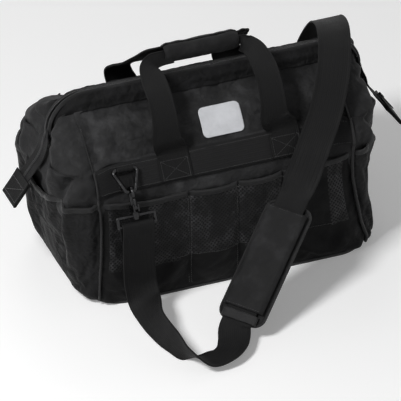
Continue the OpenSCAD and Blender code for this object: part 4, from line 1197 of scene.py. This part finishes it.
for half in HALVES:
    sewn(sleeve(half), "mouth_" + half, sleeve_cloth, "body_cloth", half + "_mouth_sleeve")
    strip, teeth_line = zip_strip(half)
    sewn(strip, "mouth_" + half, zip_cloth, "zipper", half + "_zip_tape")
    coil = set_along(half + "_zip_coil", [teeth_line], teeth, *TEETH)
    sewn(coil, "mouth_" + half, teeth, "zipper")

# ---- Zip tails and their tabs ----

TAIL_END = np.array([277.25, 0, 158.71])
TAIL_WAY, TAIL_UP = np.array([0.5878, 0, -0.809]), np.array([0.809, 0, 0.5878])


def zip_tail(side):
    """Both tapes of the zip's end, down the bag's end, and their lines of teeth."""
    sx = TOWARDS[side]
    parts, lines = [], []
    for sy in (-1, 1):
        steps = [(237.6, 3.6, 236, 0, 2.4, 0), (239.9, 5.4, 227, 0, 4.3, 0), (242.3, 8.2, 219.9, 0, 7.2, 0),
                 (245.2, 8.5, 207, 0, 7.4, 0), (250.2, 8.5, 195.9, 0, 7.4, 0), (263.7, 8.5, 177.3, 0, 7.4, 0),
                 (277.2, 8.5, 158.7, 0, 7.4, 0)]
        steps = [(x * sx, y * sy, z, a, b, c) for x, y, z, a, b, c in steps]
        parts.append(ribbon("tail_part", steps, 1.3, 60, 0.2))
        lines.append(smooth_path([(s[0] + sx * 0.9, sy * 1.35, s[2] + 0.4) for s in steps], 50))
    sewn(joined(side + "_tail", parts), "bag", zip_cloth, "zipper", side + "_zip_tail")
    return lines


def zip_tab(side):
    """Webbing folded over the zip's end."""
    to_side = [TOWARDS[side], 1, 1]
    way, up = TAIL_WAY * to_side, TAIL_UP * to_side
    start = TAIL_END * to_side + way * 0.4
    half = [0, 23.6, 0]
    steps = [(-9, 2.3), (0, 1.7), (14, 1.3), (27, 1.3), (30.6, 1.1), (31.6, 0), (30.6, -1.1), (27, -1.3), (14, -1.3),
             (0, -1.6), (-7, -2.2)]
    path = [list(start + way * d + up * h) + half for d, h in steps]
    tab = flip_out(ribbon(side + "_tab", path, 2.0, 60))
    sewn(tab, "bag", webbing, "webbing", side + "_zip_tab")
    box = [(3, -20), (26, -20), (26, 20), (3, 20), (3, -20), (26, 20)]
    spots = [start + way * d + up * 2.6 + np.array([0, y, 0]) for d, y in box]
    sew("bag", zigzag(spots, 8))


tail_teeth = []
for side in ENDS:
    tail_teeth += zip_tail(side)
    zip_tab(side)
sewn(set_along("tail_coils", tail_teeth, teeth, *TEETH), "bag", teeth, "zipper")

# ---- Carrying handles and their grip ----

FOOT_Y, FOOT_H = 92.16, 216.13
GRIP_H, GRIP_LEN, GRIP_R, GRIP_X = 322, 113, 14.5, -7


def handle_leg(half, sx):
    """Webbing from its sewn foot up and round into the grip."""
    sy, rise = TOWARDS[half], GRIP_H - FOOT_H
    steps = [(HANDLE_X, half_dep(z) + 3.9, z, 24, 0, 0) for z in (184.5, 193, 203)]
    if half == "front":
        shape = [(1, 1, 0, 23, 0, 0), (1, 1.06, 0.25, 21.5, 0, 0), (1, 1.02, 0.5, 19.5, 0, 0),
                 (1, 0.84, 0.75, 18.5, 0, 0), (0.99, 0.5, 0.92, 18, 0, 0)]
        top, slip = 0.975, 11 if sx < 0 else -17
    elif sx < 0:
        shape = [(1.02, 1, 0, 23, 0, 0), (1.09, 0.98, 0.22, 21, 0, 0), (1.15, 0.88, 0.42, 20, 0, 0),
                 (1.12, 0.68, 0.58, 20, 0, 0), (1.02, 0.42, 0.73, 19, 1, 0)]
        top, slip = 0.87, 4
    else:
        shape = [(1, 1, 0, 23, 0, 0), (1, 0.97, 0.25, 22, 0, 0), (1, 0.87, 0.46, 21, 0, 0),
                 (1, 0.67, 0.64, 21, 0, 0), (0.99, 0.42, 0.79, 15, 1, 0)]
        top, slip = 0.93, -17
    shape += [(0.94, 0.25, top, 14, -3, 5), (0.85, 0.13, 0.98, 7, -5, 9), (0.76, 0.1, 0.985, 2, -4, 10),
              (0.6, 0.1, 0.985, 0, -4, 9)]
    steps += [(x * HANDLE_X + slip * step(z / 0.3) * step((x - 0.6) / 0.3), y * FOOT_Y, FOOT_H + z * rise, a, b, c)
              for x, y, z, a, b, c in shape]
    return [(sx * x, sy * y, z, sx * a, sy * b, c) for x, y, z, a, b, c in steps]


def handle(half):
    """Both legs, and the webbing between them inside the wrap."""
    sy = TOWARDS[half]
    parts = [ribbon("leg_part", handle_leg(half, sx), 2.3, 110) for sx in (-1, 1)]
    core = [(x + GRIP_X, sy * 6, GRIP_H - 1, 0, 3.5 * sy, -8.5) for x in np.linspace(-50, 50, 6)]
    parts.append(ribbon("leg_part", core, 4.0, 20))
    legs = joined(half + "_handle_webbing", parts)
    fold = ("bag", "handle_" + half, (0, sy * 0.095, 0.212), (0, sy * 0.0955, 0.226))
    sewn(legs, fold, webbing, "webbing", half + "_handle")


for half in HALVES:
    handle(half)


def grip_half(name, low, high, seed):
    """Half of the padded wrap round both handles, between two angles, turned in at its ends."""
    def place(x, a):
        near_end = step((GRIP_LEN / 2 - abs(x)) / 7)
        fold = noise.noise(Vector((x / 12, a * 1.6, seed))) * 0.9 + noise.noise(Vector((x / 30, a, seed + 5))) * 0.9
        r = GRIP_R - 2.6 + 2.1 * near_end + fold * near_end
        return x + GRIP_X, r * math.cos(a), GRIP_H + r * math.sin(a)

    grid = grid_of(np.linspace(-GRIP_LEN / 2, GRIP_LEN / 2, 58), np.radians(np.linspace(low, high, 26)), place)
    return baked(thicken(cloth_sheet(name, grid), 2.6))


# ---- Shoulder strap ----

STRAP = [
    (-159.1, -147.1, 124.7, 24, 0, 0), (-159.1, -147.1, 150.7, 24, 0, 0),
    (-159.1, -148.3, 153.4, 24, 0, 0), (-159.1, -151, 154.6, 24, 0, 0),
    (-159.1, -153.8, 153.4, 24, 0, 0), (-159.1, -154.9, 150.7, 24, 0, 0),
    (-159.1, -155.1, 124.7, 24, 0, 0), (-158.2, -154, 81.2, 24, 0, 0),
    (-156.9, -157.5, 49.3, 24, -1.4, 0), (-156.1, -167.5, 34.8, 22.1, -4.8, 8.2),
    (-156.9, -190, 30, 16.3, -5.8, 16.8), (-158, -222.5, 27.5, 8, -5, 22),
    (-152, -263, 26, 4, -9, 21.5), (-140, -293, 19, 4, -18, 13.5), (-114, -305, 9, 5, -23, 3.5),
    (-88, -303, 10, 9, -21.5, 5), (-71, -290, 12, 13.5, -19, 5),
    (-62.5, -275, 14.5, 14.4, -18.9, 3), (-55, -258.8, 21.3, 14.4, -19.2, 0),
    (-49.4, -254.5, 27, 14.4, -19.2, 0), (7.3, -212, 84.1, 14.4, -19.2, 0),
    (64, -169.5, 141.2, 14.4, -19.2, 0), (69.6, -165.2, 146.9, 14.4, -19.2, 0),
    (80.8, -158.8, 162.4, 15.4, -17.3, -6.7), (112.7, -128.8, 194.3, 18.2, -14.4, -6.7),
    (147.1, -100, 243.6, 20.2, -10.6, -6.7), (177.2, -52.5, 285.6, 22.1, -7.7, -3.8),
    (196.9, 0, 303.1, 23.5, -3.8, 0), (209.4, 55, 285.6, 24, 0, 0), (214.1, 100, 240.7, 24, 0, 0),
    (215, 127.5, 197.2, 24, 0, 0), (215, 137.5, 159.5, 24, 0, 0), (215, 137.5, 92.8, 24, 0, 0),
    (212.8, 142.5, 58, 24, 0, 0), (204.2, 170, 33.4, 23.5, 3.8, 0), (189.2, 195, 34.8, 23, 5.8, 0),
    (174.2, 195, 58, 23.5, 3.8, 0), (163.4, 170, 87, 24, 1, 0), (159.1, 155.1, 124.7, 24, 0, 0),
    (159.1, 154.9, 150.7, 24, 0, 0), (159.1, 153.8, 153.4, 24, 0, 0), (159.1, 151, 154.6, 24, 0, 0),
    (159.1, 148.3, 153.4, 24, 0, 0), (159.1, 147.1, 150.7, 24, 0, 0), (159.1, 147.1, 124.7, 24, 0, 0)]

sewn(flip_out(ribbon("strap_webbing", STRAP, 2.2, 520)), "bag", webbing, "webbing", "shoulder_strap")

PAD_MIDDLE = np.array([7.31, -212, 84.1])
PAD_WAY, PAD_ACROSS = np.array([-0.62273, -0.46705, -0.62775]), np.array([0.6, -0.8, 0])
PAD_UP = np.cross(PAD_WAY, PAD_ACROSS)
PAD_LEN, PAD_W = 182, 71
SEAM_REACH = 35.2  # from the pad's middle to its seam
COVER_HALF = 31.5


def on_pad(x, y, z):
    """A place given along, across and off the pad, in the bag's own space."""
    return PAD_MIDDLE + PAD_WAY * x + PAD_ACROSS * y + PAD_UP * z


def pad_outline(inset, count=120):
    """Rounded outline of the pad in its own plane."""
    hx, hy, r = PAD_LEN / 2 - inset, PAD_W / 2 - inset, 15
    points = []
    for cx, cy, start in ((hx - r, hy - r, 0), (r - hx, hy - r, 90), (r - hx, r - hy, 180), (hx - r, r - hy, 270)):
        for a in np.radians(np.linspace(start, start + 90, 10)):
            points.append((cx + r * math.cos(a), cy + r * math.sin(a)))
    return evenly(np.array(points + points[:1]), count, True)[0]


def pad_body():
    """Crowned cushion, thinnest at its seam."""
    rows = []
    levels = [(0.02, -7.6), (12, -7.4), (24, -6.9), (31, -5.9), (34.3, -4.6), (SEAM_REACH, -3.2), (34.3, -2.2),
              (31, -1.9), (24, -1.8), (12, -1.7), (0.02, -1.7)]
    base = pad_outline(0)
    for reach, z in levels:
        share = reach / SEAM_REACH
        rows.append([on_pad(x - math.copysign(SEAM_REACH, x) * (1 - share) if abs(x) > PAD_LEN / 2 - SEAM_REACH
                            else x, y * share, z - 3.0) for x, y in base])
    return rings("pad_body", rows)


def crown(y):
    """How far the cover stands up in its middle."""
    return 0.9 * math.cos(y / COVER_HALF * math.pi / 2)


def pad_cover():
    """Raised cover stitched down along both sides of the strap."""
    def place(x, y):
        flank = step((COVER_HALF - abs(y)) / 5.5)
        soft = noise.noise(Vector((x / 26, y / 20, 3))) * 0.8 + noise.noise(Vector((x / 9, y / 14, 8))) * 0.35
        return on_pad(x, y, -1.3 + flank * (4.0 + crown(y) + soft * 0.8))

    grid = grid_of(np.linspace(-82, 73, 60), np.linspace(-COVER_HALF, COVER_HALF, 30), place)
    return thicken(cloth_sheet("pad_cover_cloth", grid), 1.3)


cushion = pad_body()
front_grip = grip_half("grip_front_half", 92, 268, 2)
rear_grip = grip_half("grip_rear_half", -86, 81, 6)
plump([(cushion, 1.7), (front_grip, 1.2), (rear_grip, 1.2)], pressure=2.5, cap_out=2.0)
sewn(cushion, "pad", pad_cloth, "body_cloth", "pad_cushion")
sewn(front_grip, "handle_front", pad_cloth, "body_cloth", "grip_wrap")
sewn(rear_grip, "flap", pad_cloth, "body_cloth", "grip_flap")
sewn(pad_cover(), "pad", pad_cloth, "body_cloth", "pad_sleeve")

edge_line = np.array([on_pad(x, y, -6.0) for x, y in pad_outline(-0.4, 160)])
sewn(flip_out(tube("pad_piping", edge_line, 2.0, 8, True, up=PAD_UP)), "pad", tape, "binding")
keeper = ((-27.5, -2.2), (-26.6, 0.6), (-24, 2.6), (0, 3.0), (24, 2.6), (26.6, 0.6), (27.5, -2.2))
keeper = [[*on_pad(85, y, z), *PAD_WAY * 7] for y, z in keeper]
sewn(flip_out(ribbon("pad_keeper", keeper, 1.6, 60)), "pad", tape, "binding")
for y in (-29.6, 29.6):
    sew("pad", [on_pad(x, y, 0.2) for x in np.linspace(-80, 71, 40)])
for x in (-79.5, 70.5):
    sew("pad", [on_pad(x, y, 3.9 + crown(y)) for y in np.linspace(-25, 25, 20)])

# ---- Ring anchors, inner pockets and dividers ----


def ring_anchor(side):
    """Webbing folded over the ring's bar and sewn to the band, left in front and right behind."""
    bar_y, bar_z = 99.37, 211.93
    y_at = lambda z: half_dep(z) + 3.3
    steps = [(y_at(187), 187), (y_at(196), 196), (bar_y - 4.4, bar_z - 5)]
    steps += [(bar_y + 3.7 * math.cos(a), bar_z + 3.7 * math.sin(a)) for a in np.radians([170, 125, 80, 35, -10, -55])]
    steps += [(bar_y - 1.4, bar_z - 7), (y_at(197) + 1.8, 197), (y_at(188) + 1.8, 188)]
    path = [(TOWARDS[side] * RING_X, TOWARDS[side] * y, z, 12.3, 0, 0) for y, z in steps]
    return flip_out(ribbon(side + "_anchor", path, 1.6, 90))


for side in ENDS:
    sewn(ring_anchor(side), "bag", webbing, "webbing", side + "_ring_anchor")


def inner_pocket(half):
    """Cloth pockets gathered on the inside of a long wall."""
    sign, face, half_span = TOWARDS[half], half_dep(9) - 17.4, 163

    def place(z, x):
        belly = abs(math.cos(x / half_span * math.pi * 1.5)) ** 0.6
        depth_in = 10 + 4 * belly + noise.noise(Vector((x / 22, z / 30, sign))) * 1.4
        return x, sign * (face - depth_in * step(z / 20)), z

    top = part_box("rear_inner_pocket")[1][2] / MM
    grid = grid_of(np.linspace(8, top, 22), np.linspace(-half_span, half_span, 90), place)
    if sign > 0:
        grid = grid[:, ::-1]
    return thicken(cloth_sheet(half + "_inner_cloth", grid), 2, 0)


for half in HALVES:
    sewn(inner_pocket(half), "bag", lining, "body_cloth", half + "_inner_pocket")
    sign, webs = TOWARDS[half], []
    for x in DIVIDERS:
        grid = grid_of(np.linspace(6, POCKET_TOP - 2, 12), np.linspace(12.6, 3.4, 5),
                       lambda z, far: (-sign * x, sign * (half_dep(z) - far), z))
        webs.append(baked(thicken(cloth_sheet("web_part", grid), 2, 0)))
    sewn(joined(half + "_pocket_webs", webs), "bag", pocket_cloth, "pocket_cloth", half + "_pocket_dividers")

# ---- Bare label ----


def label_patch(tree):
    """Patch with round corners, laid on the front's cloth."""
    rows, cols, w, h, r = 21, 27, 62, 42, 7
    middle = 237.9
    slope = np.array([0, 0.45, 0.893])
    levels = np.sin(np.linspace(-1, 1, rows) * math.pi / 2) * (h / 2)
    grid = np.empty((rows, cols, 3))
    for i, v in enumerate(levels):
        over = max(0, abs(v) - (h / 2 - r))
        reach = w / 2 - r + math.sqrt(r * r - min(over, r) ** 2)
        for j, u in enumerate(np.linspace(-1, 1, cols)):
            grid[i, j] = np.array([u * reach, -half_dep(middle), middle]) + slope * v
    return laid(grid.reshape(-1, 3), tree, (0, 0.893, -0.45), 1.1).reshape(grid.shape)


patch = thicken(soften(cloth_sheet("bare_label", label_patch(surface_of("front_upper")))), 1.0, 1)
sewn(patch, between("front"), label_cloth, "label", "plain_label")

# ---- Stitch lines ----


for side in HALVES:
    sign, tree = TOWARDS[side], surface_of(side + "_pockets")
    sew("bag", *(outline_row(side, z, 170, -2.6)[0][3:-3] for z in (185.6, 212.6)))
    for x in DIVIDERS:
        for gap in (-1.6, 1.6):
            line = [(-sign * x + gap, sign * 125, z) for z in np.linspace(14, POCKET_TOP - 4, 50)]
            sew("bag", laid(line, tree, (0, -sign, 0), 0.3))
    low = [(x, sign * 125, 62) for x in np.linspace(-165, 165, 130)]
    sew("bag", laid(low, tree, (0, -sign, 0), 0.3))
    for sx in (-1, 1):
        box = [(-20, 187), (20, 187), (20, 209), (-20, 209), (-20, 187), (20, 209), (20, 187), (-20, 209)]
        spots = np.array([(sx * HANDLE_X + x, sign * (half_dep(z) + 5.3), z) for x, z in box])
        sew("bag", zigzag(spots, 10))

for body, lines in seams.items():
    work = set_along(body + "_stitches", lines, thread, *STITCHES)
    sewn(work, body, thread, "binding")

# ---- Solids that keep their own shape ----

for node in ("front_frame_bar", "rear_frame_bar", "left_hinge_rivet", "right_hinge_rivet"):
    repaint(node, rod_metal)
for side in ENDS:
    for part in ("ring", "hook", "hook_gate", "swivel_loop"):
        repaint(f"{side}_{part}", dark_metal)
for node in ("zip_slider", "zip_pull"):
    repaint(node, dark_metal)
repaint("strap_adjuster", black_plastic)
repaint("base_panel", bottom_plastic)
repaint("base_board", board_plastic)

# ---- Floor, backdrop and lights ----


def soft_light(name, place, aim, size, power):
    """Round lamp at a place, turned to what it lights."""
    data = bpy.data.lights.new(name, "AREA")
    data.shape, data.size, data.energy = "DISK", size, power
    lamp = bpy.data.objects.new(name, data)
    bpy.context.collection.objects.link(lamp)
    lamp.location = place
    lamp.rotation_mode = "QUATERNION"
    lamp.rotation_quaternion = (Vector(aim) - Vector(place)).to_track_quat("-Z", "Y")


def seen_share(tree):
    """1 where something is seen straight, in gloss or through glass, and 0 where it only lights."""
    rays = tree.nodes.new("ShaderNodeLightPath")
    seen = rays.outputs["Is Camera Ray"]
    for ray in ("Is Glossy Ray", "Is Transmission Ray"):
        most = tree.nodes.new("ShaderNodeMath")
        most.operation = "MAXIMUM"
        tree.links.new(seen, most.inputs[0])
        tree.links.new(rays.outputs[ray], most.inputs[1])
        seen = most.outputs[0]
    return seen


FLOOR_HALF = 9000


def set_room():
    """White floor that keeps a soft shadow, and a white surround."""
    corners = [(x * FLOOR_HALF, y * FLOOR_HALF, 0) for x, y in ((-1, -1), (1, -1), (1, 1), (-1, 1))]
    floor = new_object("floor", corners, [(0, 1, 2, 3)])
    pale = Finish("pale_floor", (0.9, 0.9, 0.9), 0.9, Specular_IOR_Level=0.1)
    pale.done(pale.ramp(pale.noise(900, 2), (0, 0.99), (1, 1.01)))
    glow = pale.node("ShaderNodeEmission", (1, 1, 1, 1), pale.math("MULTIPLY", seen_share(pale.tree), 0.22))
    both = pale.node("ShaderNodeAddShader", pale.shader.outputs[0], glow)
    pale.tree.links.new(both.outputs[0], pale.tree.nodes["Material Output"].inputs["Surface"])
    paint(floor, pale.mat)
    floor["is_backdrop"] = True
    world = bpy.data.worlds.new("surround")
    bpy.context.scene.world = world
    world.use_nodes = True
    tree = world.node_tree
    back = tree.nodes["Background"]
    back.inputs["Color"].default_value = (1, 1, 1, 1)
    level = tree.nodes.new("ShaderNodeMapRange")
    level.inputs["To Min"].default_value = 0.14
    level.inputs["To Max"].default_value = 1.0
    tree.links.new(seen_share(tree), level.inputs["Value"])
    tree.links.new(level.outputs[0], back.inputs["Strength"])
    soft_light("window", (-1.7, -0.9, 2.3), (0, 0, 0.15), size=0.7, power=64)
    soft_light("fill", (1.9, -1.7, 1.5), (0, 0, 0.15), size=1.8, power=2)
    soft_light("rim", (0.6, 2.2, 2.2), (0, 0, 0.2), size=1.4, power=10)


set_room()
bpy.context.scene.view_settings.view_transform = "Standard"

low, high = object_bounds()
